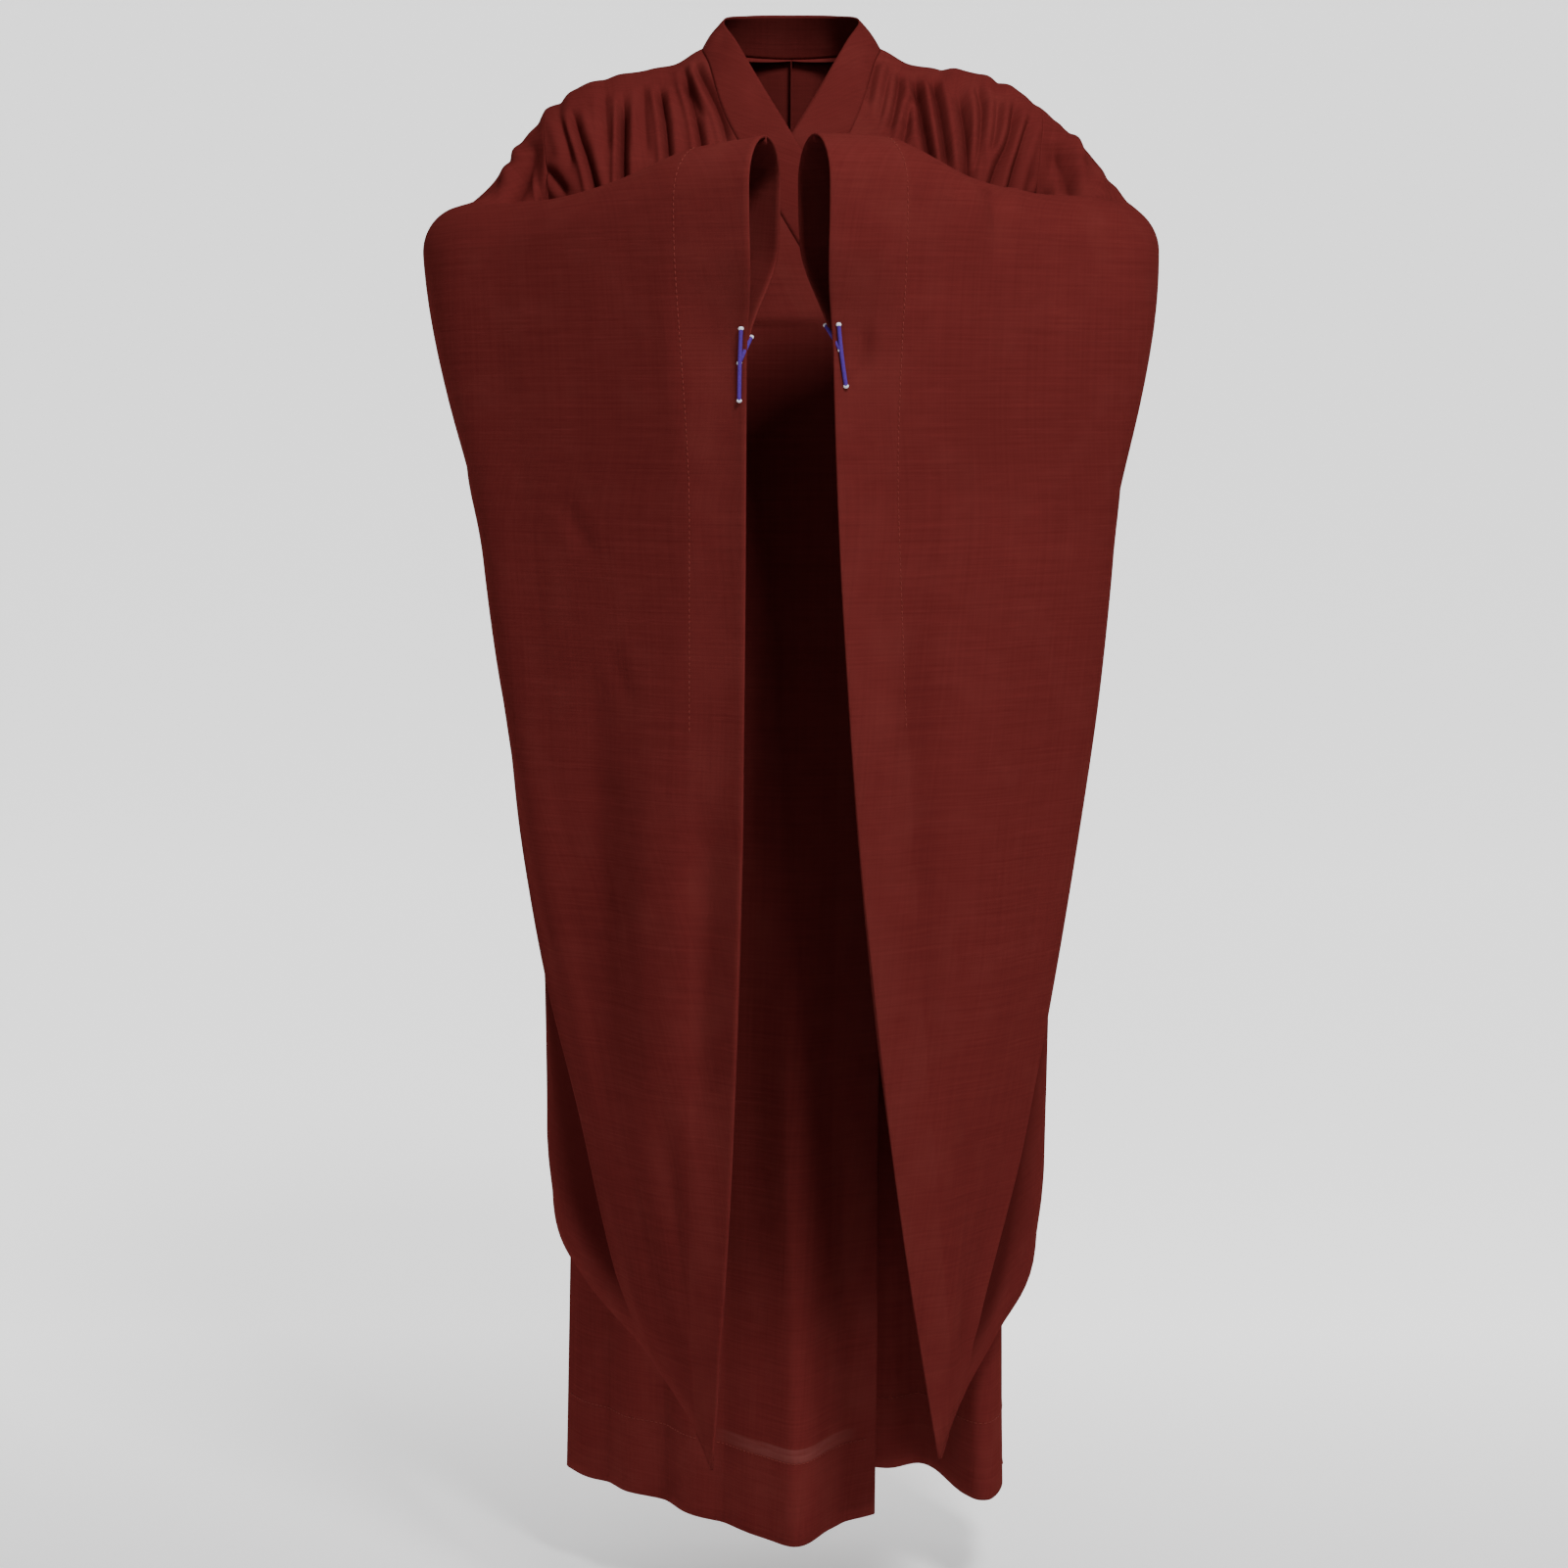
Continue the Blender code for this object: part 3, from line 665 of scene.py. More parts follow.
@dataclass
class Sleeve:
    """A bag sleeve: two layers that meet along the arm and along the foot of the bag."""

    side: Side
    stations: tuple[SleeveStation, ...]
    outer_folds: tuple[Fold, ...]
    inner_folds: tuple[Fold, ...]
    elbow_fold: ElbowFold
    rows: int = 124
    columns: int = 128
    shoulder_crowding: float = 1.5
    bag_crowding: float = 2.1
    bag_crowding_share: float = 0.20
    bow_rise: float = 0.6
    bag_easing: float = 0.28
    seam_easing: float = 0.07
    seam_half: float = 0.00095
    mouth_drop: Place = (0.09, 0.19)
    mouth_share: float = 0.12
    mouth_swing: float = 0.015
    cuff_hem: float = 0.055

    @property
    def name(self) -> str:
        """Give the sleeve's name in the model."""
        return f"sleeve_{self.side.name.lower()}"

    def panels(self) -> tuple[Panel, Panel]:
        """Work out the two layers.

        Returns:
            The outer layer, then the inner.
        """
        columns = self.elbow_fold.columns(self.columns)
        shares = np.repeat(columns[None], self.rows + 1, axis=0)
        (outer, _), _ = self._layers(shares)
        shares = self.elbow_fold.swung(columns, np.abs(outer[..., 0]), outer[..., 2])
        layers, fall = self._layers(shares)
        crease = self.elbow_fold.press(layers[0], columns, fall)
        cuff = Edge(EdgeKind.HEMMED, self.cuff_hem)
        sign = self.side.value
        edges = (SEAM, FOOT_SEAM, SEAM, cuff)
        outer_name, inner_name = (f"{self.name}_{layer}_cloth" for layer in ("outer", "inner"))
        outer_panel = Panel(outer_name, layers[0], sign, *edges, self.outer_folds, crease=crease)
        inner_panel = Panel(inner_name, layers[1], -sign, *edges, self.inner_folds)
        return outer_panel, inner_panel

    def _layers(self, shares: np.ndarray) -> tuple[tuple[np.ndarray, np.ndarray], np.ndarray]:
        """Work out both layers' points.

        Args:
            shares: The place along the sleeve of each grid point.

        Returns:
            The outer and the inner layer, and the share of the drop at each grid place.
        """
        table = np.array(self.stations)
        read = SleeveStation(
            *(part.reshape(shares.shape) for part in smooth_through(table[:, 0], table, shares.ravel()).T)
        )
        steps = np.linspace(0.0, 1.0, self.rows + 1)[:, None]
        crowding = self.shoulder_crowding
        crowding = crowding + (self.bag_crowding - crowding) * ease(shares / self.bag_crowding_share)
        fall = steps**crowding
        drop = fall * (read.top_z - read.foot_z)
        bow = np.sin(math.pi * fall**self.bow_rise)
        leaning = fall**read.lean
        out = read.top_out + (read.foot_out - read.top_out) * leaning + read.bow_out * bow
        deep = read.top_y + (read.foot_y - read.top_y) * leaning + read.bow_y * bow
        half, out = self._half_width(read, fall, drop, shares, out)
        facing = np.radians(read.face_top + (read.face_foot - read.face_top) * fall**2)
        made = []
        for layer in (1, -1):
            points = np.empty(out.shape + (3,))
            points[..., 0] = self.side.value * (out + layer * half * np.cos(facing))
            points[..., 1] = deep + layer * half * np.sin(facing)
            points[..., 2] = read.top_z - drop
            made.append(points)
        return (made[0], made[1]), fall

    def _half_width(
        self, read: SleeveStation, fall: np.ndarray, drop: np.ndarray, shares: np.ndarray, out: np.ndarray
    ) -> tuple[np.ndarray, np.ndarray]:
        """Work out how far each layer stands from the sleeve's middle.

        Args:
            read: The stations' columns, a number for each grid column.
            fall: The share of the drop at each grid place.
            drop: The drop in metres.
            shares: The grid columns' places along the sleeve.
            out: The middle's distance from the body's middle.

        Returns:
            The half width, and the middle's distance with the cuff's mouth swung in.
        """
        arc = np.clip(drop / read.arm_half, 0.0, 1.0)
        roundness = np.sqrt(arc * (2.0 - arc))
        settling = ease((drop - read.arm_half) / self.bag_easing)
        half = read.arm_half * roundness * (1 - settling) + read.bag_half * settling
        half = self.seam_half + (half - self.seam_half) * ease((1.0 - fall) / self.seam_easing)
        below_mouth = ease((drop - self.mouth_drop[0]) / (self.mouth_drop[1] - self.mouth_drop[0]))
        near_cuff = ease((shares - 1.0 + self.mouth_share) / self.mouth_share)
        half = half + (self.seam_half - half) * below_mouth * near_cuff
        half[0] = 0.0
        return half, out - self.mouth_swing * (1 - below_mouth) * near_cuff


class PlanPoint(NamedTuple):
    """A place across a body panel, at the armpit's level and at the hem."""

    across: float
    chest_out: float
    chest_y: float
    hem_out: float
    hem_y: float


UPPER_FRONT_PLAN = (
    PlanPoint(0.00, -0.085, -0.152, -0.079, -0.138),
    PlanPoint(0.12, -0.050, -0.157, -0.040, -0.180),
    PlanPoint(0.25, -0.010, -0.160, -0.002, -0.224),
    PlanPoint(0.38, 0.035, -0.158, 0.052, -0.179),
    PlanPoint(0.54, 0.090, -0.148, 0.102, -0.132),
    PlanPoint(0.72, 0.148, -0.118, 0.155, -0.074),
    PlanPoint(0.88, 0.189, -0.064, 0.202, -0.034),
    PlanPoint(1.00, 0.205, 0.004, 0.224, 0.004),
)

UNDER_FRONT_PLAN = (
    PlanPoint(0.00, -0.085, -0.124, -0.085, -0.072),
    PlanPoint(0.16, -0.035, -0.138, -0.030, -0.046),
    PlanPoint(0.32, 0.020, -0.148, 0.030, -0.016),
    PlanPoint(0.48, 0.075, -0.144, 0.085, -0.002),
    PlanPoint(0.62, 0.118, -0.134, 0.138, -0.006),
    PlanPoint(0.74, 0.152, -0.114, 0.170, -0.078),
    PlanPoint(0.84, 0.178, -0.084, 0.194, -0.094),
    PlanPoint(0.92, 0.195, -0.048, 0.209, -0.058),
    PlanPoint(1.00, 0.205, 0.004, 0.211, 0.004),
)

BACK_PLAN = (
    PlanPoint(0.00, 0.000, 0.122, 0.000, 0.150),
    PlanPoint(0.14, 0.030, 0.123, 0.034, 0.138),
    PlanPoint(0.28, 0.062, 0.122, 0.066, 0.156),
    PlanPoint(0.42, 0.094, 0.116, 0.100, 0.128),
    PlanPoint(0.58, 0.130, 0.104, 0.138, 0.132),
    PlanPoint(0.74, 0.164, 0.082, 0.172, 0.090),
    PlanPoint(0.88, 0.192, 0.050, 0.202, 0.062),
)


class BandSection(NamedTuple):
    """A section of the collar band: its free edge, and its seam to the body."""

    edge_out: float
    edge_y: float
    edge_z: float
    seam_out: float
    seam_y: float
    seam_z: float


BAND_SECTIONS = (
    BandSection(0.000, 0.058, 0.060, 0.000, 0.080, 0.020),
    BandSection(0.042, 0.045, 0.058, 0.054, 0.062, 0.022),
    BandSection(0.064, 0.006, 0.050, 0.083, 0.006, 0.024),
    BandSection(0.051, -0.026, 0.026, 0.077, -0.030, 0.004),
    BandSection(0.023, -0.070, -0.024, 0.063, -0.078, -0.042),
    BandSection(0.000, -0.102, -0.063, 0.041, -0.110, -0.086),
    BandSection(-0.040, -0.132, -0.130, 0.001, -0.137, -0.154),
    BandSection(-0.085, -0.155, -0.208, -0.045, -0.154, -0.232),
)
UNDER_SETBACKS = (0.0, 0.0, 0.0, 0.0009, 0.006, 0.0105, 0.018, 0.030)


@dataclass
class CollarBand:
    """The folded band round the neck and down both fronts."""

    upper_rows: int = 124
    end_row: int = 85
    neck_rows: int = 31
    neck_knot: int = 2
    band_rows: int = 14
    band_thickness: float = 0.0017
    crown: float = 0.0016

    def curves(self) -> tuple[np.ndarray, np.ndarray]:
        """Find the free edge and the seam, from the upper front's end to the under front's.

        Returns:
            Two lines with a point for each row of the panels that the band is sewn to.
        """
        table = np.array(BAND_SECTIONS)
        upper = table * np.array((-1, 1, 1, -1, 1, 1))
        under = table + np.outer(UNDER_SETBACKS, (0, 1, 0, 0, 1, 0))
        sections = np.concatenate((upper[:0:-1], under))
        round_neck = np.linspace(0.0, self.neck_knot, self.neck_rows + 1)
        down_lapel = np.linspace(self.neck_knot, len(table) - 1.0, self.end_row + 1)[1:]
        places = np.concatenate((round_neck, down_lapel))
        places = np.concatenate((-places[:0:-1], places)) + len(table) - 1
        read = smooth_through(np.arange(len(sections)), sections, places)
        return read[:, :3], read[:, 3:]

    def half(self, curve: np.ndarray, side: Side) -> np.ndarray:
        """Take one side's half of a curve, from the nape down."""
        nape = len(curve) // 2
        return curve[nape:] if side is Side.LEFT else curve[nape::-1]

    def panel(self) -> Panel:
        """Work out the band, slightly crowned between its fold and its seam.

        Returns:
            The band's panel.
        """
        edge, seam = self.curves()
        part = np.linspace(0.0, 1.0, self.band_rows + 1)[:, None, None]
        points = edge * (1 - part) + seam * part
        points = points + grid_normals(points, 1) * (self.crown * np.sin(math.pi * part))
        edges = (FOLD_EDGE,) * 4
        return Panel("collar_band_cloth", points, 1, *edges, BAND_FOLDS, self.band_thickness)


@dataclass
class Body:
    """The two fronts and the two backs, hung from the shoulders."""

    band: CollarBand
    upper_rows: int = 124
    lower_rows: int = 76
    columns: int = 140
    row_crowding: float = 1.5
    skirt_flare: float = 1.3
    shoulder_middle: tuple[float, float, float] = (0.50, 0.010, -0.003)
    shoulder_crest: tuple[float, float, float] = (0.78, 0.011, -0.015)
    shoulder_blades: tuple[float, float, float] = (0.0, 0.118, -0.150)
    blades_share: float = 0.4
    band_end_drop: float = 0.005
    hem_allowance: float = 0.065
    front_facing: float = 0.040

    def panels(self, side: Side, inner: Panel, outer: Panel) -> tuple[Panel, Panel]:
        """Work out the front and the back of one side.

        Args:
            side: The wearer's side.
            inner: The sleeve's inner layer, which the front is sewn to.
            outer: The sleeve's outer layer, which the back is sewn to.

        Returns:
            The front panel, then the back.
        """
        upper = side is Side.RIGHT
        plan = UPPER_FRONT_PLAN if upper else UNDER_FRONT_PLAN
        name = "front_outer_cloth" if upper else "front_under_cloth"
        folds = UPPER_FRONT_FOLDS if upper else UNDER_FRONT_FOLDS
        sign = side.value
        hem = Edge(EdgeKind.HEMMED, self.hem_allowance)
        opening = Edge(EdgeKind.HEMMED, self.front_facing)
        front_points = self._form(sign, plan, self._front_edge(plan, side), self._armhole(inner, sign))
        front = Panel(name, front_points, -sign, SEAM, hem, opening, SEAM, folds)
        back_plan = BACK_PLAN + (plan[-1],)
        back_points = self._form(sign, back_plan, self._back_edge(side), self._armhole(outer, sign))
        back_points[0] = front_points[0]
        back_folds = BACK_RIGHT_FOLDS if upper else BACK_LEFT_FOLDS
        back = Panel(f"back_{side.name.lower()}_cloth", back_points, sign, SEAM, hem, SEAM, SEAM, back_folds)
        return front, back

    def _form(
        self, sign: int, plan: Sequence[PlanPoint], neck_side: np.ndarray, armhole: np.ndarray
    ) -> np.ndarray:
        """Span a panel between its four upper edges, and let it fall from the armpit to the hem.

        Args:
            sign: The sign of X on the wearer's side.
            plan: The panel's places across, at the armpit's level and at the hem.
            neck_side: The edge from the neck down to the armpit's level.
            armhole: The edge from the top of the arm down to the armpit.

        Returns:
            Rows by columns by 3.
        """
        across = np.linspace(0.0, 1.0, self.columns + 1)
        fall = (np.linspace(0.0, 1.0, self.upper_rows + 1) ** self.row_crowding)[:, None, None]
        top = self._shoulder(neck_side[0], armhole[0], across)
        bottom = self._plan_row(sign, plan, 0.0, across, ARMPIT[2])
        u = across[None, :, None]
        sides = (1 - u) * neck_side[:, None] + u * armhole[:, None]
        ends = (1 - fall) * top[None] + fall * bottom[None]
        corners = (1 - fall) * ((1 - u) * top[0] + u * top[-1]) + fall * ((1 - u) * bottom[0] + u * bottom[-1])
        lower = []
        for step in range(1, self.lower_rows + 1):
            level = step / self.lower_rows
            height = ARMPIT[2] + (HEM_Z - ARMPIT[2]) * level
            lower.append(self._plan_row(sign, plan, level**self.skirt_flare, across, height))
        return np.concatenate((sides + ends - corners, np.array(lower)))

    def _shoulder(self, neck: np.ndarray, arm: np.ndarray, shares: np.ndarray) -> np.ndarray:
        """Run the shoulder line from the base of the neck to the top of the arm.

        Args:
            neck: Where the line starts.
            arm: Where it ends.
            shares: Places along it, from 0 to 1.

        Returns:
            A point for each place.
        """
        knots = [0.0]
        places = [neck]
        for share, deep, height in (self.shoulder_middle, self.shoulder_crest):
            knots.append(share)
            places.append(np.array((neck[0] + share * (arm[0] - neck[0]), deep, height)))
        return smooth_through(knots + [1.0], places + [arm], shares)

    @staticmethod
    def _plan_row(
        sign: int, plan: Sequence[PlanPoint], level: float, shares: np.ndarray, height: float
    ) -> np.ndarray:
        """Find the points across a panel at one height.

        Args:
            sign: The sign of X on the wearer's side.
            plan: The panel's places across, at the armpit's level and at the hem.
            level: 0 at the armpit and 1 at the hem, eased by the skirt's flare.
            shares: Places across, from 0 to 1.
            height: The row's height.

        Returns:
            A point for each place.
        """
        table = np.array(plan)
        read = PlanPoint(*smooth_through(table[:, 0], table, shares).T)
        out = read.chest_out + (read.hem_out - read.chest_out) * level
        deep = read.chest_y + (read.hem_y - read.chest_y) * level
        return np.stack((sign * out, deep, np.full_like(out, height)), axis=1)

    def _front_edge(self, plan: Sequence[PlanPoint], side: Side) -> np.ndarray:
        """Run down the band's seam, out along its end and down the opening to the armpit's level.

        Args:
            plan: The front's places across.
            side: The wearer's side.

        Returns:
            A point for each upper row.
        """
        edge, seam = (self.band.half(curve, side) for curve in self.band.curves())
        corner = edge[-1].copy()
        corner[2] = seam[-1][2] - self.band_end_drop
        foot = np.array((side.value * plan[0].chest_out, plan[0].chest_y, ARMPIT[2]))
        left = np.linspace(0.0, 1.0, self.upper_rows - self.band.end_row)[:, None]
        return np.concatenate((seam[self.band.neck_rows :], corner + (foot - corner) * left))

    def _back_edge(self, side: Side) -> np.ndarray:
        """Run round the back of the neck, then down the centre-back seam.

        Args:
            side: The wearer's side.

        Returns:
            A point for each upper row.
        """
        round_neck = self.band.half(self.band.curves()[1], side)[self.band.neck_rows :: -1]
        foot = np.array((0.0, BACK_PLAN[0].chest_y, ARMPIT[2]))
        count = self.upper_rows - self.band.neck_rows
        left = np.arange(1, count + 1) / count
        down = smooth_through((0.0, self.blades_share, 1.0), (round_neck[-1], self.shoulder_blades, foot), left)
        return np.concatenate((round_neck, down))

    @staticmethod
    def _armhole(layer: Panel, sign: int) -> np.ndarray:
        """Take the body's side of the seam to one layer of the sleeve.

        Args:
            layer: The sleeve's layer.
            sign: The sign of X on the wearer's side.

        Returns:
            A point for each upper row, the last one at the armpit.
        """
        curve = layer.shape[:, 0].copy()
        curve[-1] = ARMPIT * np.array((sign, 1, 1))
        return curve


# A fold's row gives its path, depth and width, then its lean, sharpness, start, end and shoulder where they
# are its own. The puffs and small notches of a shoulder run on through every panel that meets there.
RIGHT_PUFFS = (
    Fold(((-0.135, 0.004), (-0.180, -0.014), (-0.222, -0.055), (-0.250, -0.100)), -0.0040, 0.0260, 0.0, 2.0,
         0.2, 0.3, 0.0),
    Fold(((-0.246, -0.070), (-0.258, -0.098), (-0.270, -0.116)), -0.0050, 0.0110, 0.0, 2.0, 0.3, 0.3, 0.0),
    Fold(((-0.108, 0.040), (-0.112, 0.004), (-0.108, -0.030)), 0.0045, 0.0150, 0.0, 2.0, 0.3, 0.4, 0.0),
    Fold(((-0.178, 0.010), (-0.176, -0.034)), 0.0014, 0.0070),
    Fold(((-0.222, -0.008), (-0.216, -0.052)), 0.0026, 0.0050),
    Fold(((-0.246, -0.030), (-0.236, -0.066)), 0.0016, 0.0048),
    Fold(((-0.272, -0.070), (-0.258, -0.096)), 0.0030, 0.0046),
)

LEFT_PUFFS = (
    Fold(((0.128, 0.004), (0.190, -0.018), (0.240, -0.062), (0.276, -0.104), (0.300, -0.132)), -0.0078,
         0.0280, 0.0, 2.0, 0.15, 0.25, 0.0),
    Fold(((0.250, -0.058), (0.262, -0.084), (0.272, -0.100)), -0.0045, 0.0100, 0.0, 2.0, 0.3, 0.3, 0.0),
    Fold(((0.108, 0.040), (0.112, 0.004), (0.108, -0.030)), 0.0040, 0.0150, 0.0, 2.0, 0.3, 0.4, 0.0),
    Fold(((0.145, 0.020), (0.140, -0.022)), 0.0016, 0.0050),
    Fold(((0.200, 0.008), (0.190, -0.034)), 0.0028, 0.0052),
    Fold(((0.232, -0.012), (0.224, -0.052)), 0.0012, 0.0060),
    Fold(((0.268, -0.040), (0.252, -0.080)), 0.0036, 0.0048),
    Fold(((0.304, -0.092), (0.290, -0.122)), 0.0018, 0.0050),
)

UPPER_FRONT_FOLDS = RIGHT_PUFFS + (
    Fold(((-0.158, -0.020), (-0.157, -0.060), (-0.156, -0.115), (-0.150, -0.180)), 0.0110, 0.0036, 0.15,
         1.2, 0.2),
    Fold(((-0.207, -0.035), (-0.198, -0.065), (-0.188, -0.095), (-0.176, -0.150)), 0.0085, 0.0036, 0.20,
         1.2, 0.2),
    Fold(((-0.219, -0.040), (-0.208, -0.075), (-0.204, -0.100)), 0.0040, 0.0040),
    Fold(((-0.126, -0.010), (-0.118, -0.050), (-0.114, -0.090), (-0.110, -0.150)), 0.0085, 0.0034, 0.10,
         1.2, 0.15),
    Fold(((-0.140, -0.012), (-0.137, -0.050), (-0.133, -0.090)), 0.0030, 0.0040, start=0.15),
    Fold(((-0.103, -0.002), (-0.091, -0.040), (-0.084, -0.075), (-0.080, -0.120)), 0.0075, 0.0034, 0.10,
         1.2, 0.15),
    Fold(((-0.094, 0.012), (-0.078, -0.020), (-0.065, -0.050), (-0.056, -0.090)), 0.0060, 0.0034, 0.10, 1.3,
         0.15),
    Fold(((-0.104, 0.010), (-0.094, -0.020), (-0.078, -0.055)), 0.0040, 0.0036, start=0.15),
    Fold(((-0.176, -0.022), (-0.173, -0.055), (-0.170, -0.085)), 0.0035, 0.0042, start=0.15),
    Fold(((-0.232, -0.090), (-0.216, -0.110), (-0.208, -0.124)), 0.0050, 0.0040, 0.1, 1.3, 0.2),
    Fold(((-0.190, -0.100), (-0.168, -0.150), (-0.140, -0.230)), 0.0050, 0.0070),
    Fold(((-0.004, -0.760), (-0.002, -1.000), (0.002, -1.200), (0.003, -1.400)), -0.0060, 0.0130, 0.0, 1.4,
         0.5, 0.02),
    Fold(((0.047, -0.900), (0.052, -1.150), (0.056, -1.400)), 0.0050, 0.0130, 0.0, 1.6, 0.5, 0.02),
    Fold(((-0.060, -0.980), (-0.066, -1.180), (-0.070, -1.400)), 0.0060, 0.0160, 0.0, 1.7, 0.5, 0.02),
    Fold(((-0.118, -0.860), (-0.124, -1.120), (-0.128, -1.400)), 0.0070, 0.0170, 0.2, 1.7, 0.5, 0.02),
    Fold(((-0.172, -0.760), (-0.180, -1.050), (-0.186, -1.400)), 0.0055, 0.0150, -0.2, 1.7, 0.5, 0.02),
    Fold(((-0.030, -0.480), (-0.036, -0.620), (-0.038, -0.780)), 0.0040, 0.0150),
)

UNDER_FRONT_FOLDS = LEFT_PUFFS + (
    Fold(((0.117, 0.000), (0.121, -0.035), (0.126, -0.070), (0.131, -0.105), (0.138, -0.160)), 0.0115,
         0.0036, -0.2, 1.2, 0.15),
    Fold(((0.133, -0.005), (0.139, -0.040), (0.143, -0.075), (0.146, -0.110)), 0.0095, 0.0034, -0.1, 1.2,
         0.15),
    Fold(((0.153, -0.015), (0.160, -0.045), (0.163, -0.090), (0.162, -0.150)), 0.0085, 0.0042, 0.0, 1.2, 0.2),
    Fold(((0.172, -0.015), (0.178, -0.040), (0.174, -0.075), (0.168, -0.110)), 0.0055, 0.0034, 0.1, 1.3,
         0.15),
    Fold(((0.208, -0.030), (0.203, -0.065), (0.190, -0.095), (0.176, -0.140)), 0.0065, 0.0036, 0.1, 1.3,
         0.15),
    Fold(((0.222, -0.045), (0.212, -0.080), (0.203, -0.115), (0.190, -0.160)), 0.0070, 0.0036, 0.1, 1.3,
         0.15),
    Fold(((0.243, -0.088), (0.236, -0.108), (0.226, -0.126)), 0.0065, 0.0036, 0.1, 1.2, 0.2),
    Fold(((0.193, -0.030), (0.190, -0.060), (0.184, -0.085)), 0.0035, 0.0036, start=0.15),
    Fold(((0.081, 0.012), (0.075, -0.010), (0.070, -0.040)), 0.0045, 0.0042, start=0.15),
    Fold(((0.103, 0.004), (0.098, -0.030), (0.088, -0.070)), 0.0050, 0.0036, start=0.15),
    Fold(((0.113, -0.025), (0.107, -0.055), (0.100, -0.085)), 0.0042, 0.0034, start=0.15),
    Fold(((0.095, 0.008), (0.087, -0.025), (0.080, -0.060)), 0.0032, 0.0034, start=0.15),
    Fold(((0.118, -0.900), (0.122, -1.120), (0.128, -1.400)), 0.0070, 0.0140, 0.0, 1.6, 0.5, 0.02),
    Fold(((0.176, -0.800), (0.180, -1.100), (0.184, -1.400)), -0.0050, 0.0130, 0.0, 1.6, 0.5, 0.02),
    Fold(((0.066, -0.950), (0.068, -1.150), (0.070, -1.400)), 0.0045, 0.0160, 0.0, 1.6, 0.5, 0.02),
)

BACK_RIGHT_FOLDS = RIGHT_PUFFS + (
    Fold(((-0.158, -0.020), (-0.160, -0.070), (-0.166, -0.130)), 0.0045, 0.0065, 0.1, 1.4, 0.2),
    Fold(((-0.126, -0.010), (-0.128, -0.060), (-0.134, -0.120)), 0.0040, 0.0065, 0.1, 1.4, 0.15),
    Fold(((-0.207, -0.035), (-0.206, -0.080), (-0.200, -0.140)), 0.0045, 0.0070, 0.1, 1.4, 0.2),
    Fold(((-0.090, -0.005), (-0.092, -0.050), (-0.100, -0.110)), 0.0040, 0.0050, 0.1, 1.4, 0.15),
    Fold(((-0.205, -0.150), (-0.150, -0.205), (-0.090, -0.235)), 0.0065, 0.0100),
    Fold(((-0.210, -0.215), (-0.160, -0.265), (-0.100, -0.290)), 0.0055, 0.0110),
    Fold(((-0.205, -0.290), (-0.165, -0.340), (-0.125, -0.400)), 0.0050, 0.0120),
    Fold(((-0.120, -0.330), (-0.106, -0.600), (-0.100, -1.000), (-0.102, -1.400)), 0.0090, 0.0150, 0.1, 1.6,
         0.3, 0.02),
    Fold(((-0.050, -0.300), (-0.040, -0.620), (-0.036, -1.000), (-0.036, -1.400)), 0.0075, 0.0140, -0.1,
         1.6, 0.3, 0.02),
    Fold(((-0.168, -0.420), (-0.166, -0.750), (-0.170, -1.100), (-0.174, -1.400)), 0.0085, 0.0130, 0.1, 1.6,
         0.3, 0.02),
    Fold(((-0.076, -0.700), (-0.070, -1.000), (-0.068, -1.400)), -0.0040, 0.0140, 0.0, 1.6, 0.4, 0.02),
    Fold(((-0.140, -0.800), (-0.137, -1.100), (-0.136, -1.400)), -0.0045, 0.0130, 0.0, 1.6, 0.4, 0.02),
)

BACK_LEFT_FOLDS = LEFT_PUFFS + (
    Fold(((0.117, 0.000), (0.122, -0.050), (0.130, -0.110)), 0.0042, 0.0070, 0.1, 1.4, 0.15),
    Fold(((0.153, -0.015), (0.158, -0.060), (0.162, -0.120)), 0.0045, 0.0065, 0.1, 1.4, 0.2),
    Fold(((0.186, -0.020), (0.190, -0.065), (0.192, -0.120)), 0.0040, 0.0060, 0.1, 1.4, 0.2),
    Fold(((0.212, -0.032), (0.212, -0.080), (0.206, -0.140)), 0.0045, 0.0070, 0.1, 1.4, 0.2),
    Fold(((0.085, 0.004), (0.088, -0.040), (0.096, -0.095)), 0.0040, 0.0050, 0.1, 1.4, 0.15),
    Fold(((0.208, -0.160), (0.155, -0.195), (0.085, -0.215)), 0.0065, 0.0100),
    Fold(((0.210, -0.235), (0.165, -0.270), (0.105, -0.300)), 0.0060, 0.0110),
    Fold(((0.207, -0.310), (0.170, -0.350), (0.130, -0.420)), 0.0045, 0.0120),
    Fold(((0.110, -0.360), (0.102, -0.640), (0.100, -1.050), (0.104, -1.400)), 0.0085, 0.0140, 0.1, 1.6,
         0.3, 0.02),
    Fold(((0.046, -0.330), (0.040, -0.680), (0.034, -1.050), (0.034, -1.400)), 0.0075, 0.0150, -0.1, 1.6,
         0.3, 0.02),
    Fold(((0.172, -0.440), (0.168, -0.800), (0.172, -1.150), (0.176, -1.400)), 0.0080, 0.0130, 0.1, 1.6,
         0.3, 0.02),
    Fold(((0.070, -0.640), (0.068, -1.000), (0.066, -1.400)), -0.0045, 0.0150, 0.0, 1.6, 0.4, 0.02),
    Fold(((0.142, -0.760), (0.138, -1.100), (0.140, -1.400)), -0.0045, 0.0130, 0.0, 1.6, 0.4, 0.02),
)

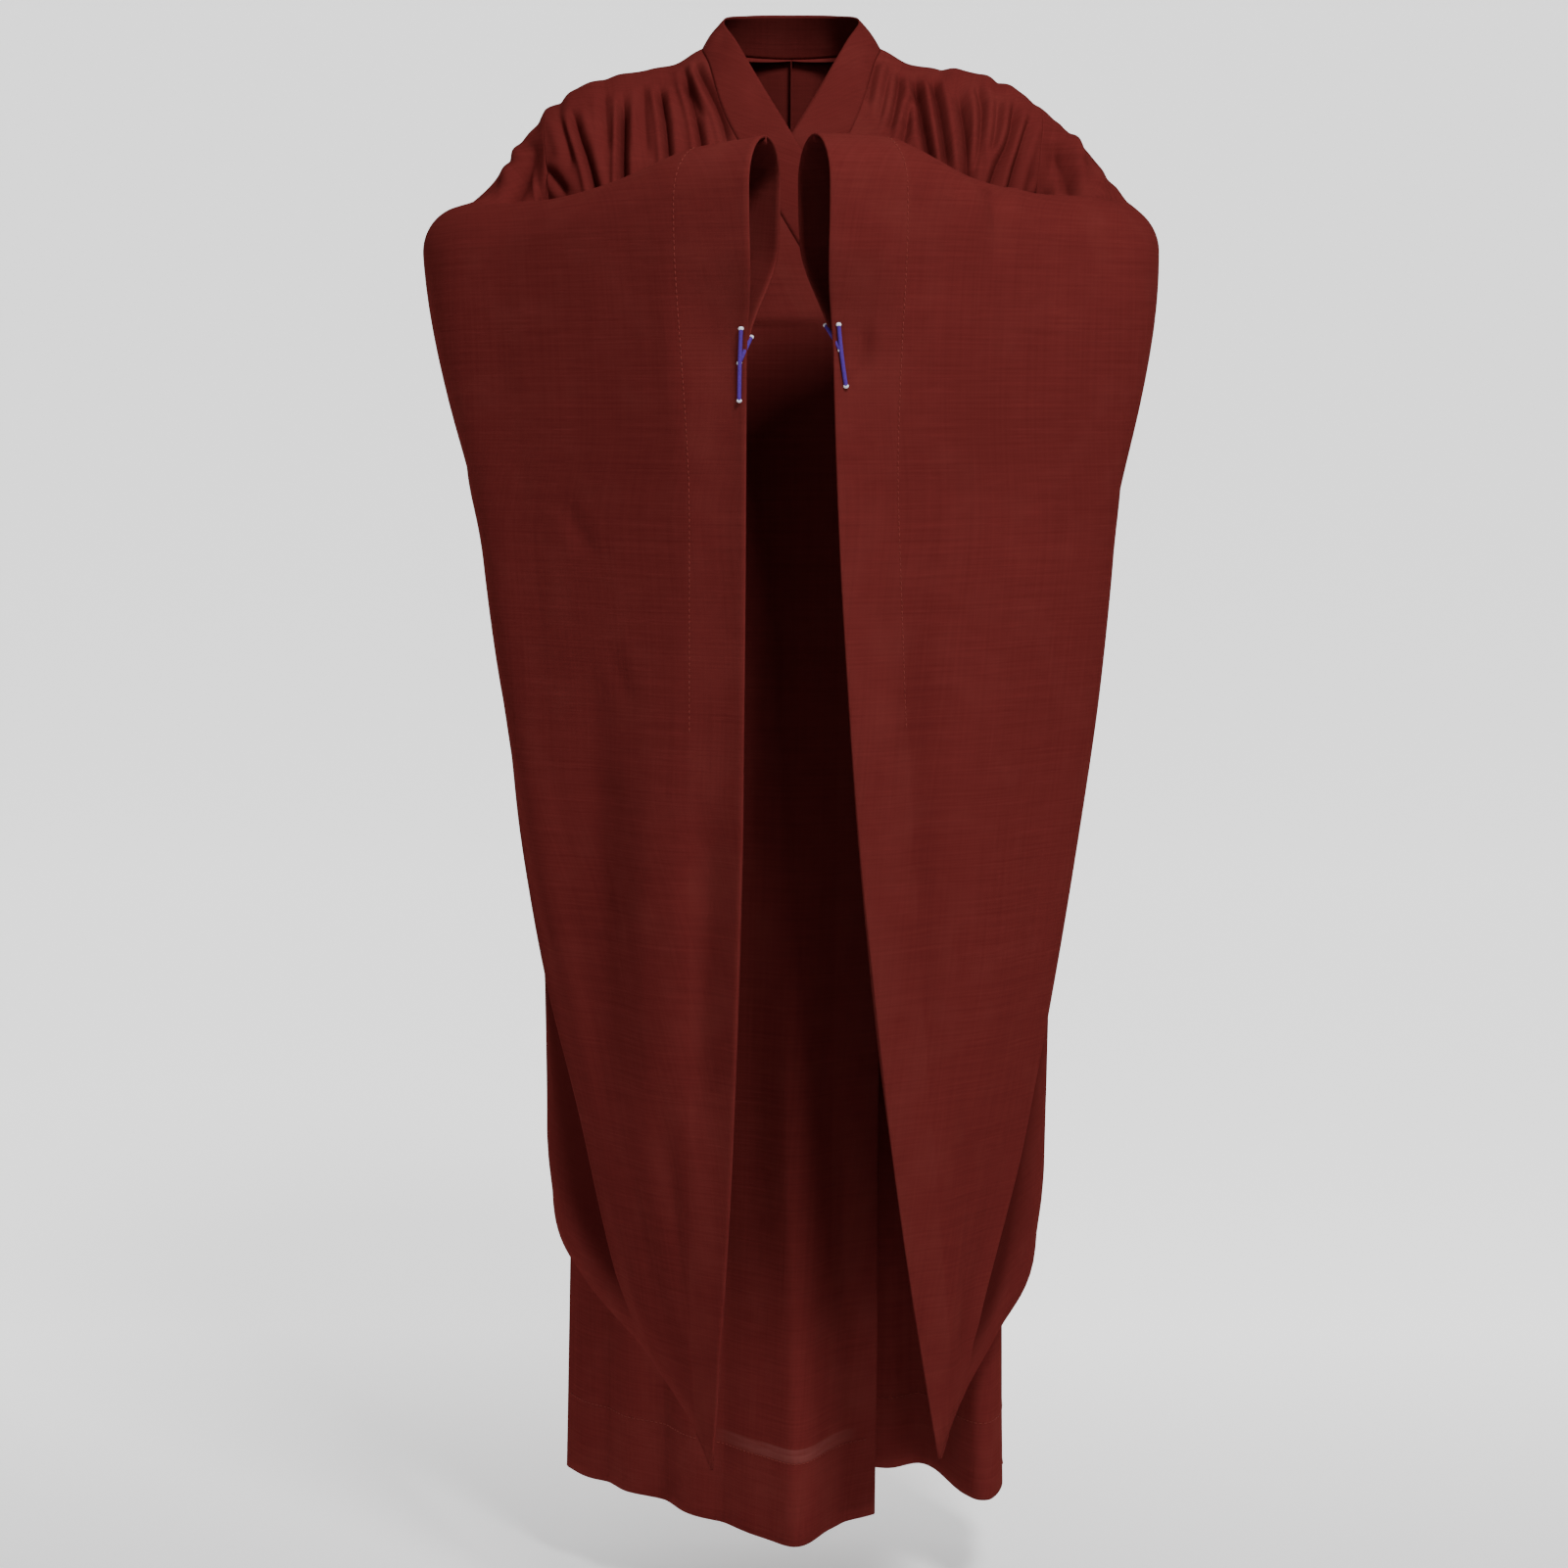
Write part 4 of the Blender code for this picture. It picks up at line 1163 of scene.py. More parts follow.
RIGHT_OUTER_FOLDS = RIGHT_PUFFS + (
    Fold(((-0.205, -0.395), (-0.185, -0.425), (-0.172, -0.445)), 0.0022, 0.0070),
    Fold(((-0.165, -0.520), (-0.150, -0.550), (-0.140, -0.580)), 0.0018, 0.0070),
    Fold(((-0.188, -0.660), (-0.165, -0.650), (-0.150, -0.662)), 0.0018, 0.0080),
    Fold(((-0.176, -0.740), (-0.155, -0.765), (-0.135, -0.760)), 0.0016, 0.0080),
    Fold(((-0.070, -0.640), (-0.078, -0.800), (-0.086, -0.980)), 0.0055, 0.0160, 0.2),
    Fold(((-0.120, -0.560), (-0.128, -0.800), (-0.128, -1.050)), -0.0050, 0.0220),
    Fold(((-0.175, -0.480), (-0.172, -0.760), (-0.150, -1.020)), 0.0055, 0.0240),
    Fold(((-0.118, -0.900), (-0.104, -1.050), (-0.084, -1.200)), 0.0045, 0.0110, 0.0, 1.6, 0.4, 0.1),
    Fold(((-0.150, -0.960), (-0.128, -1.080), (-0.100, -1.190)), 0.0045, 0.0110, 0.0, 1.6, 0.4, 0.1),
    Fold(((-0.092, -0.372), (-0.078, -0.376)), 0.0020, 0.0050),
    Fold(((0.020, -0.230), (0.012, -0.420), (0.000, -0.700), (-0.004, -1.000)), 0.0070, 0.0150, 0.1, 1.6,
         chart=Chart.PROFILE),
    Fold(((-0.050, -0.260), (-0.055, -0.520), (-0.050, -0.800), (-0.060, -1.050)), 0.0060, 0.0160, -0.1,
         1.6, chart=Chart.PROFILE),
    Fold(((-0.100, -0.200), (-0.115, -0.420), (-0.120, -0.700)), -0.0040, 0.0150, chart=Chart.PROFILE),
    Fold(((0.075, -0.090), (0.020, -0.140), (-0.050, -0.175)), 0.0050, 0.0090, chart=Chart.PROFILE),
    Fold(((0.070, -0.150), (0.015, -0.200), (-0.040, -0.230)), 0.0050, 0.0100, chart=Chart.PROFILE),
    Fold(((-0.020, -0.080), (-0.060, -0.120), (-0.110, -0.160)), 0.0035, 0.0080, chart=Chart.PROFILE),
)

RIGHT_INNER_FOLDS = RIGHT_PUFFS + (
    Fold(((-0.238, -0.070), (-0.250, -0.105), (-0.262, -0.140)), 0.0060, 0.0070, 0.1, 1.5),
    Fold(((-0.246, -0.052), (-0.262, -0.085), (-0.275, -0.125)), -0.0040, 0.0070, 0.1, 1.5),
    Fold(((-0.080, -0.560), (-0.100, -0.800), (-0.110, -1.000)), 0.0050, 0.0180),
    Fold(((-0.150, -0.500), (-0.155, -0.760), (-0.140, -1.000)), -0.0040, 0.0200),
)

LEFT_OUTER_FOLDS = LEFT_PUFFS + (
    Fold(((0.174, -0.120), (0.178, -0.150), (0.180, -0.200)), 0.0055, 0.0085, 0.0, 1.5, 0.1, 0.7),
    Fold(((0.150, -0.115), (0.150, -0.150), (0.148, -0.210)), -0.0020, 0.0080, 0.0, 1.5, 0.1, 0.7),
    Fold(((0.056, -0.240), (0.062, -0.256), (0.060, -0.276), (0.052, -0.290)), 0.0032, 0.0045, 0.2, 1.5),
    Fold(((0.110, -0.420), (0.122, -0.700), (0.140, -1.000)), 0.0045, 0.0220),
    Fold(((0.175, -0.360), (0.180, -0.700), (0.172, -1.000)), -0.0045, 0.0240),
    Fold(((0.150, -0.860), (0.160, -1.020), (0.158, -1.190)), 0.0045, 0.0110, 0.0, 1.6, 0.4, 0.1),
    Fold(((0.185, -0.900), (0.178, -1.060), (0.160, -1.180)), 0.0040, 0.0110, 0.0, 1.6, 0.4, 0.1),
    Fold(((0.070, -0.520), (0.082, -0.640), (0.100, -0.800)), -0.0030, 0.0140),
    Fold(((0.022, -0.250), (0.014, -0.460), (0.002, -0.760), (-0.004, -1.020)), 0.0065, 0.0150, 0.1, 1.6,
         chart=Chart.PROFILE),
    Fold(((-0.052, -0.240), (-0.060, -0.500), (-0.052, -0.820), (-0.062, -1.080)), 0.0060, 0.0170, -0.1,
         1.6, chart=Chart.PROFILE),
    Fold(((-0.105, -0.220), (-0.118, -0.450), (-0.120, -0.740)), -0.0040, 0.0150, chart=Chart.PROFILE),
    Fold(((0.078, -0.085), (0.025, -0.130), (-0.045, -0.165)), 0.0050, 0.0090, chart=Chart.PROFILE),
    Fold(((0.070, -0.155), (0.018, -0.195), (-0.035, -0.235)), 0.0045, 0.0100, chart=Chart.PROFILE),
    Fold(((-0.015, -0.075), (-0.055, -0.115), (-0.105, -0.150)), 0.0035, 0.0080, chart=Chart.PROFILE),
)

LEFT_INNER_FOLDS = LEFT_PUFFS + (
    Fold(((0.240, -0.070), (0.252, -0.100), (0.262, -0.135)), 0.0060, 0.0070, -0.1, 1.5),
    Fold(((0.250, -0.052), (0.264, -0.085), (0.277, -0.120)), -0.0040, 0.0070, -0.1, 1.5),
    Fold(((0.100, -0.560), (0.120, -0.800), (0.135, -1.000)), 0.0050, 0.0180),
    Fold(((0.160, -0.500), (0.170, -0.760), (0.165, -1.000)), -0.0040, 0.0200),
)

RIGHT_ELBOW_FOLD = ElbowFold(
    ((0.300, -0.200), (0.290, -0.400), (0.262, -0.620), (0.2275, -0.818), (0.203, -0.915), (0.174, -1.050),
     (0.139, -1.178), (0.125, -1.205)),
    hollow=0.0078,
)

LEFT_ELBOW_FOLD = ElbowFold(
    ((0.300, -0.200), (0.296, -0.400), (0.274, -0.600), (0.240, -0.839), (0.211, -0.977), (0.1845, -1.089),
     (0.171, -1.136), (0.158, -1.190)),
    step=0.0058, hollow=0.0062,
)

BAND_FOLDS = (
    Fold(((-0.062, 0.045), (-0.066, 0.030), (-0.068, 0.015)), 0.0012, 0.0060),
    Fold(((-0.040, -0.010), (-0.030, -0.030), (-0.022, -0.045)), 0.0010, 0.0060),
    Fold(((0.058, 0.015), (0.052, -0.005), (0.048, -0.020)), 0.0012, 0.0060),
)


Input = Union["Wire", float]


class Wire:
    """A value in a shader, with arithmetic that adds Math nodes."""

    def __init__(self, tree: bpy.types.NodeTree, socket: bpy.types.NodeSocket) -> None:
        """Hold a socket of a node tree."""
        self.tree = tree
        self.socket = socket

    def _math(self, operation: str, *inputs: Input, clamp: bool = False) -> "Wire":
        """Add a Math node.

        Args:
            operation: Blender's name for it.
            inputs: Values or wires, in order.
            clamp: Whether the result is kept from 0 to 1.

        Returns:
            The node's result.
        """
        node = self.tree.nodes.new("ShaderNodeMath")
        node.operation = operation
        node.use_clamp = clamp
        for index, value in enumerate(inputs):
            if isinstance(value, Wire):
                self.tree.links.new(value.socket, node.inputs[index])
            else:
                node.inputs[index].default_value = value
        return Wire(self.tree, node.outputs[0])

    def __add__(self, other: Input) -> "Wire":
        """Add."""
        return self._math("ADD", self, other)

    def __radd__(self, other: Input) -> "Wire":
        """Add to a number."""
        return self._math("ADD", other, self)

    def __sub__(self, other: Input) -> "Wire":
        """Take away."""
        return self._math("SUBTRACT", self, other)

    def __rsub__(self, other: Input) -> "Wire":
        """Take from a number."""
        return self._math("SUBTRACT", other, self)

    def __mul__(self, other: Input) -> "Wire":
        """Multiply."""
        return self._math("MULTIPLY", self, other)

    def __rmul__(self, other: Input) -> "Wire":
        """Multiply a number."""
        return self._math("MULTIPLY", other, self)

    def power(self, exponent: float) -> "Wire":
        """Raise to a power."""
        return self._math("POWER", self, exponent)

    def clamped(self) -> "Wire":
        """Keep from 0 to 1."""
        return self._math("ADD", self, 0.0, clamp=True)

    def sine(self) -> "Wire":
        """Take the sine."""
        return self._math("SINE", self)


class Grain(NamedTuple):
    """Noise on the weave's map: cycles in a metre across and down the cloth, octaves and their roughness."""

    across: float
    down: float
    detail: float
    roughness: float


class Shader:
    """One material's node tree."""

    def __init__(self, name: str) -> None:
        """Start a material with an empty Principled surface.

        Args:
            name: The material's name.
        """
        self.material = bpy.data.materials.new(name)
        self.material.use_nodes = True
        self.tree = self.material.node_tree
        self.surface = self.tree.nodes["Principled BSDF"]

    def node(
        self, kind: str, settings: dict[str, object] | None = None, inputs: dict[str, object] | None = None
    ) -> bpy.types.Node:
        """Add a node.

        Args:
            kind: Blender's node type.
            settings: The node's own properties.
            inputs: Socket names with values, wires or sockets to link.

        Returns:
            The node.
        """
        made = self.tree.nodes.new(kind)
        for key, value in (settings or {}).items():
            setattr(made, key, value)
        for key, value in (inputs or {}).items():
            self.feed(made.inputs[key], value)
        return made

    def feed(self, socket: bpy.types.NodeSocket, value: object) -> None:
        """Link a wire or a socket to an input, or set its value.

        Args:
            socket: The input.
            value: A wire, a socket or a constant.
        """
        if isinstance(value, Wire):
            self.tree.links.new(value.socket, socket)
        elif isinstance(value, bpy.types.NodeSocket):
            self.tree.links.new(value, socket)
        else:
            socket.default_value = value

    def wire(self, socket: bpy.types.NodeSocket) -> Wire:
        """Wrap a socket for arithmetic."""
        return Wire(self.tree, socket)

    def attribute(self, name: str) -> Wire:
        """Read a number that is stored on the mesh's points."""
        return self.wire(self.node("ShaderNodeAttribute", {"attribute_name": name}).outputs["Fac"])

    def raise_surface(self, height: Wire, strength: float, depth: float) -> None:
        """Give the surface a fine relief.

        Args:
            height: The relief's height.
            strength: Its share.
            depth: The height of 1, in metres.
        """
        bump = self.node("ShaderNodeBump", {}, {"Strength": strength, "Distance": depth, "Height": height})
        self.feed(self.surface.inputs["Normal"], bump.outputs["Normal"])

    def noise(self, place: object, scale: float, detail: float = 2.0, roughness: float = 0.5) -> Wire:
        """Add smooth noise.

        Args:
            place: The vector that it is read at.
            scale: Cycles in a metre.
            detail: Octaves.
            roughness: The weight of the finer octaves.

        Returns:
            Values round 0.5.
        """
        made = self.node(
            "ShaderNodeTexNoise", {"noise_dimensions": "3D"},
            {"Vector": place, "Scale": scale, "Detail": detail, "Roughness": roughness},
        )
        return self.wire(made.outputs["Fac"])

    def stretched(self, place: object, scale: tuple[float, float, float]) -> bpy.types.NodeSocket:
        """Scale a vector on each axis."""
        return self.node("ShaderNodeMapping", {}, {"Vector": place, "Scale": scale}).outputs["Vector"]

    def weave_noise(self, weave: object, grain: Grain) -> Wire:
        """Add noise that is drawn out along the threads."""
        place = self.stretched(weave, (grain.across, grain.down, 1.0))
        return self.noise(place, 1.0, grain.detail, grain.roughness)

    def blend(self, share: Input, low: Colour | bpy.types.NodeSocket, high: Colour) -> bpy.types.NodeSocket:
        """Mix a colour over another.

        Args:
            share: How much of the upper colour shows.
            low: The lower colour, or the socket that gives it.
            high: The upper colour.

        Returns:
            The mixed colour.
        """
        made = self.node("ShaderNodeMix", {"data_type": "RGBA"})
        colour_inputs = [socket for socket in made.inputs if socket.type == "RGBA"]
        self.feed(made.inputs[0], share)
        self.feed(colour_inputs[0], (*low, 1.0) if isinstance(low, tuple) else low)
        self.feed(colour_inputs[1], (*high, 1.0))
        return next(socket for socket in made.outputs if socket.type == "RGBA")


@dataclass(frozen=True)
class ClothFinish:
    """Thin matt robe cloth with slubs: thick places in the weft that run across the piece."""

    name: str
    deep: Colour = (0.090, 0.0130, 0.0122)
    full: Colour = (0.138, 0.0215, 0.0196)
    # Painted light: the colour of the strip above the front hem where light shines through.
    worn: Colour = (0.170, 0.0360, 0.0310)
    lit_through: Colour = (0.240, 0.090, 0.080)
    # Painted shade: the colour that cloth behind a fold is darkened towards, and how far.
    shade_tint: Colour = (0.038, 0.0048, 0.0046)
    shade_tint_share: float = 0.80
    tone: float = 0.45
    streaks: Grain = Grain(9.0, 420.0, 3.0, 0.62)
    streak_tone: float = 0.95
    warp: Grain = Grain(336.0, 6.0, 2.0, 0.5)
    warp_tone: float = 0.45
    slubs: Grain = Grain(22.0, 189.0, 2.0, 0.55)
    slub_from: float = 0.56
    slub_gain: float = 5.0
    slub_tone: float = 0.15
    cloud_scale: float = 7.0
    cloud_tone: float = 0.55
    wear_scale: float = 24.0
    wear_share: float = 0.5
    hem_wear: float = 0.10
    roughness: float = 0.88
    streak_roughness: float = 0.12
    slub_roughness: float = -0.06
    sheen: float = 0.010
    sheen_roughness: float = 0.45
    sheen_tint: Colour = (0.90, 0.26, 0.20)
    # Painted light: where the lightened strip above the front hem lies, and how strongly it is lightened.
    backlit_place: tuple[float, float, float] = (-0.006, -0.050, -1.287)
    backlit_half: Place = (0.070, 0.0075)
    backlit_front: float = 50.0
    backlit_edge: float = 2.0
    backlit_base: float = 0.05
    backlit_streaks: Grain = Grain(30.0, 252.0, 2.0, 0.6)
    backlit_streak_share: float = 0.42
    threads: float = 1150.0
    thread_height: float = 0.10
    streak_height: float = 0.28
    slub_height: float = 0.28
    crumple_scale: float = 34.0
    crumple_fall: float = 0.55
    crumple_height: float = 2.4
    soft_scale: float = 11.0
    soft_fall: float = 0.40
    soft_height: float = 6.0
    relief: float = 0.55
    relief_depth: float = 0.00055

    def material(self) -> bpy.types.Material:
        """Make the material.

        Returns:
            The cloth's material.
        """
        shader = Shader(self.name)
        weave = shader.node("ShaderNodeUVMap", {"uv_map": "weave"}).outputs["UV"]
        room = shader.node("ShaderNodeTexCoord").outputs["Object"]
        streaks = shader.weave_noise(weave, self.streaks)
        thick = ((shader.weave_noise(weave, self.slubs) - self.slub_from) * self.slub_gain).clamped()
        self._colour(shader, weave, room, streaks, thick)
        rough = self.roughness + (streaks - 0.5) * self.streak_roughness + thick * self.slub_roughness
        surface = shader.surface.inputs
        shader.feed(surface["Roughness"], rough.clamped())
        surface["Sheen Weight"].default_value = self.sheen
        surface["Sheen Roughness"].default_value = self.sheen_roughness
        surface["Sheen Tint"].default_value = (*self.sheen_tint, 1.0)
        surface["Specular IOR Level"].default_value = 0.0
        self._relief(shader, weave, room, streaks, thick)
        return shader.material

    def _colour(self, shader: Shader, weave: object, room: object, streaks: Wire, thick: Wire) -> None:
        """Colour the cloth: streaked by its threads, worn in places, with painted shade behind folds and
        painted light above the hem.

        Args:
            shader: The material's shader.
            weave: The weave's map.
            room: The place in the robe's own frame.
            streaks: The weft's streaks.
            thick: 1 in a slub.
        """
        warp = shader.weave_noise(weave, self.warp)
        cloud = shader.noise(room, self.cloud_scale, 3.0, 0.55)
        wear = shader.noise(room, self.wear_scale)
        tone = self.tone + (streaks - 0.5) * self.streak_tone + (warp - 0.5) * self.warp_tone
        tone = tone + (cloud - 0.5) * self.cloud_tone + thick * self.slub_tone
        colour = shader.blend(tone.clamped(), self.deep, self.full)
        rubbed = ((wear - 0.5) * self.wear_share + shader.attribute("doubled") * self.hem_wear).clamped()
        colour = shader.blend(rubbed, colour, self.worn)
        # Painted shade: cloth that lies behind a fold is coloured darker, where shade falls in the fold.
        colour = shader.blend(shader.attribute("tucked") * self.shade_tint_share, colour, self.shade_tint)
        # Painted light: a lighter strip above the front hem, where light shines through the single layer.
        lit = self.backlit_base + shader.weave_noise(weave, self.backlit_streaks) * self.backlit_streak_share
        colour = shader.blend(self._backlit_strip(shader, room) * lit, colour, self.lit_through)
        shader.feed(shader.surface.inputs["Base Color"], colour)

    def _backlit_strip(self, shader: Shader, room: object) -> Wire:
        """Find the strip of a single layer above the front hem, where light shining through it is painted on.

        Args:
            shader: The material's shader.
            room: The place in the robe's own frame.

        Returns:
            1 in the strip, easing to 0 at its edges.
        """
        split = shader.node("ShaderNodeSeparateXYZ", {}, {"Vector": room})
        x, y, z = (shader.wire(split.outputs[axis]) for axis in "XYZ")
        aside = (x - self.backlit_place[0]) * (1.0 / self.backlit_half[0])
        above = (z - self.backlit_place[2]) * (1.0 / self.backlit_half[1])
        ahead = ((self.backlit_place[1] - y) * self.backlit_front).clamped()
        return (1.0 - aside * aside).clamped() * ((1.0 - above * above) * self.backlit_edge).clamped() * ahead

    def _relief(self, shader: Shader, weave: object, room: object, streaks: Wire, thick: Wire) -> None:
        """Raise the threads, the slubs and the small crumple of the cloth.

        Args:
            shader: The material's shader.
            weave: The weave's map.
            room: The place in the robe's own frame.
            streaks: The weft's streaks.
            thick: 1 in a slub.
        """
        split = shader.node("ShaderNodeSeparateXYZ", {}, {"Vector": weave})
        turn = 2.0 * math.pi * self.threads
        over = (shader.wire(split.outputs["X"]) * turn).sine()
        under = (shader.wire(split.outputs["Y"]) * turn).sine()
        crumple = shader.noise(shader.stretched(room, (1.0, 1.0, self.crumple_fall)), self.crumple_scale, 3.0)
        soft = shader.noise(shader.stretched(room, (1.0, 1.0, self.soft_fall)), self.soft_scale)
        height = over * under * self.thread_height + streaks * self.streak_height + thick * self.slub_height
        height = height + crumple * self.crumple_height + soft * self.soft_height
        shader.raise_surface(height, self.relief, self.relief_depth)


@dataclass(frozen=True)
class ThreadFinish:
    """Twisted sewing thread."""

    name: str
    colour: Colour
    pale: Colour
    roughness: float = 0.85
    specular: float = 0.10
    twist_scale: float = 900.0
    relief: float = 0.4
    relief_depth: float = 0.0002

    def material(self) -> bpy.types.Material:
        """Make the material.

        Returns:
            The thread's material.
        """
        shader = Shader(self.name)
        room = shader.node("ShaderNodeTexCoord").outputs["Object"]
        twist = shader.noise(room, self.twist_scale)
        shader.feed(shader.surface.inputs["Base Color"], shader.blend(twist, self.colour, self.pale))
        shader.surface.inputs["Roughness"].default_value = self.roughness
        shader.surface.inputs["Specular IOR Level"].default_value = self.specular
        shader.raise_surface(twist, self.relief, self.relief_depth)
        return shader.material


@dataclass(frozen=True)
class BackdropFinish:
    """Matt pale studio paper that glows where it lies behind the robe: painted light, brighter towards the
    back.
    """

    colour: Colour = (0.93, 0.93, 0.93)
    glow: float = 1.2
    glow_from: float = -0.6
    glow_rise: float = 1.4
    roughness: float = 0.95
    specular: float = 0.1

    def material(self) -> bpy.types.Material:
        """Make the material.

        Returns:
            The paper's material.
        """
        shader = Shader("studio_paper")
        place = shader.node("ShaderNodeTexCoord").outputs["Object"]
        split = shader.node("ShaderNodeSeparateXYZ", {}, {"Vector": place})
        # Painted light: the paper glows, from none in front of the robe to full behind it.
        behind = ((shader.wire(split.outputs["Y"]) - self.glow_from) * (1.0 / self.glow_rise)).clamped()
        glow = shader.blend(behind, (0.0, 0.0, 0.0), (1.0, 1.0, 1.0))
        shader.feed(shader.surface.inputs["Emission Color"], glow)
        shader.surface.inputs["Emission Strength"].default_value = self.glow
        shader.surface.inputs["Base Color"].default_value = (*self.colour, 1.0)
        shader.surface.inputs["Roughness"].default_value = self.roughness
        shader.surface.inputs["Specular IOR Level"].default_value = self.specular
        return shader.material


@dataclass
class Sewing:
    """Stitches and thread tacks, laid on the finished panels."""

    stitch: ThreadFinish
    tack: ThreadFinish
    knot: ThreadFinish
    stitch_length: float = 0.0032
    stitch_pitch: float = 0.0052
    stitch_radius: float = 0.00042
    stitch_arch: tuple[float, ...] = (-0.5, 0.75, 0.75, -0.5)
    stitch_sides: int = 6
    tack_radius: float = 0.0018
    knot_radius: float = 0.0024
    knot_squash: tuple[float, float, float] = (1.0, 0.75, 0.8)

    def run(self, name: str, lines: Sequence[tuple[np.ndarray, np.ndarray]]) -> bpy.types.Object:
        """Sew running stitches along lines.

        Args:
            name: The piece's name.
            lines: For each line its points and their outward normals.

        Returns:
            One piece that holds every stitch.
        """
        verts: list[np.ndarray] = []
        faces: list[tuple[int, ...]] = []
        for points, normals in lines:
            lengths = np.concatenate(((0.0,), np.cumsum(np.linalg.norm(np.diff(points, axis=0), axis=1))))
            count = int(lengths[-1] / self.stitch_pitch)
            for index in range(count):
                start = (index + 0.5) * self.stitch_pitch
                at = start + self.stitch_length * np.linspace(0.0, 1.0, len(self.stitch_arch))
                line = np.stack([np.interp(at, lengths, points[:, axis]) for axis in range(3)], axis=1)
                up = unit(np.stack([np.interp(at, lengths, normals[:, axis]) for axis in range(3)], axis=1))
                along = unit(line[-1] - line[0])
                lift = self.stitch_radius * np.array(self.stitch_arch)
                self._add_tube(verts, faces, line + up * lift[:, None], up, along)
        return self._finish(name, verts, faces, self.stitch.material())

    def _add_tube(
        self, verts: list[np.ndarray], faces: list[tuple[int, ...]], line: np.ndarray, up: np.ndarray,
        along: np.ndarray
    ) -> None:
        """Add one stitch, a short tube with closed ends.

        Args:
            verts: The piece's points, which grow.
            faces: The piece's faces, which grow.
            line: The tube's middle.
            up: The cloth's outward direction at each of its points.
            along: The way that the stitch runs.
        """
        sides = self.stitch_sides
        base = len(verts)
        for place, rise in zip(line, up):
            across = np.cross(along, rise)
            for side in range(sides):
                angle = 2.0 * math.pi * side / sides
                verts.append(place + self.stitch_radius * (math.cos(angle) * across + math.sin(angle) * rise))
        for ring in range(len(line) - 1):
            for side in range(sides):
                low = base + ring * sides
                after = (side + 1) % sides
                faces.append((low + side, low + after, low + sides + after, low + sides + side))
        faces.append(tuple(base + side for side in range(sides - 1, -1, -1)))
        faces.append(tuple(base + (len(line) - 1) * sides + side for side in range(sides)))

    @staticmethod
    def _finish(
        name: str, verts: Sequence[np.ndarray], faces: Sequence[tuple[int, ...]], material: bpy.types.Material
    ) -> bpy.types.Object:
        """Make a piece from points and faces.

        Args:
            name: The piece's name.
            verts: Its points.
            faces: The corners of each of its faces.
            material: Its material.

        Returns:
            The piece.
        """
        mesh = bpy.data.meshes.new(name)
        mesh.from_pydata([tuple(map(float, vert)) for vert in verts], [], list(faces))
        mesh.materials.append(material)
        mesh.shade_smooth()
        piece = bpy.data.objects.new(name, mesh)
        bpy.context.collection.objects.link(piece)
        return piece

    def thread(self, name: str, places: Sequence[Sequence[float]]) -> bpy.types.Object:
        """Lay one length of thread through places.

        Args:
            name: The piece's name.
            places: Points that the thread passes through.

        Returns:
            A closed tube.
        """
        deselect_all()
        bpy.ops.curve.primitive_nurbs_path_add(location=(0.0, 0.0, 0.0))
        piece = bpy.context.object
        piece.name = name
        curve = piece.data
        curve.splines.clear()
        spline = curve.splines.new("NURBS")
        spline.points.add(len(places) - 1)
        for point, place in zip(spline.points, places):
            point.co = (*place, 1.0)
        spline.use_endpoint_u = True
        spline.order_u = 3
        spline.resolution_u = 4
        curve.bevel_depth = self.tack_radius
        curve.bevel_resolution = 3
        curve.use_fill_caps = True
        bpy.ops.object.convert(target="MESH")
        piece = bpy.context.object
        piece.data.materials.clear()
        piece.data.materials.append(self.tack.material())
        return piece

    def knots(self, name: str, places: Sequence[Sequence[float]]) -> bpy.types.Object:
        """Tie a small knot at each place.

        Args:
            name: The piece's name.
            places: The middles of the knots.

        Returns:
            One piece that holds the knots.
        """
        made = []
        for place in places:
            deselect_all()
            bpy.ops.mesh.primitive_uv_sphere_add(
                segments=14, ring_count=10, radius=self.knot_radius, location=place
            )
            knot = bpy.context.object
            bpy.ops.object.mode_set(mode="EDIT")
            bpy.ops.mesh.select_all(action="SELECT")
            bpy.ops.transform.resize(value=self.knot_squash, center_override=tuple(place))
            bpy.ops.object.mode_set(mode="OBJECT")
            made.append(knot)
        deselect_all()
        for knot in made:
            knot.select_set(True)
        bpy.context.view_layer.objects.active = made[0]
        bpy.ops.object.join()
        bpy.ops.object.transform_apply(location=True, rotation=True, scale=True)
        piece = bpy.context.object
        piece.name = name
        piece.data.materials.clear()
        piece.data.materials.append(self.knot.material())
        bpy.ops.object.shade_smooth()
        return piece


def deselect_all() -> None:
    """Leave nothing selected."""
    for item in bpy.context.selected_objects:
        item.select_set(False)


class Lamp(NamedTuple):
    """A square soft light: its name, place, width and power."""

    name: str
    place: tuple[float, float, float]
    size: float
    watts: float


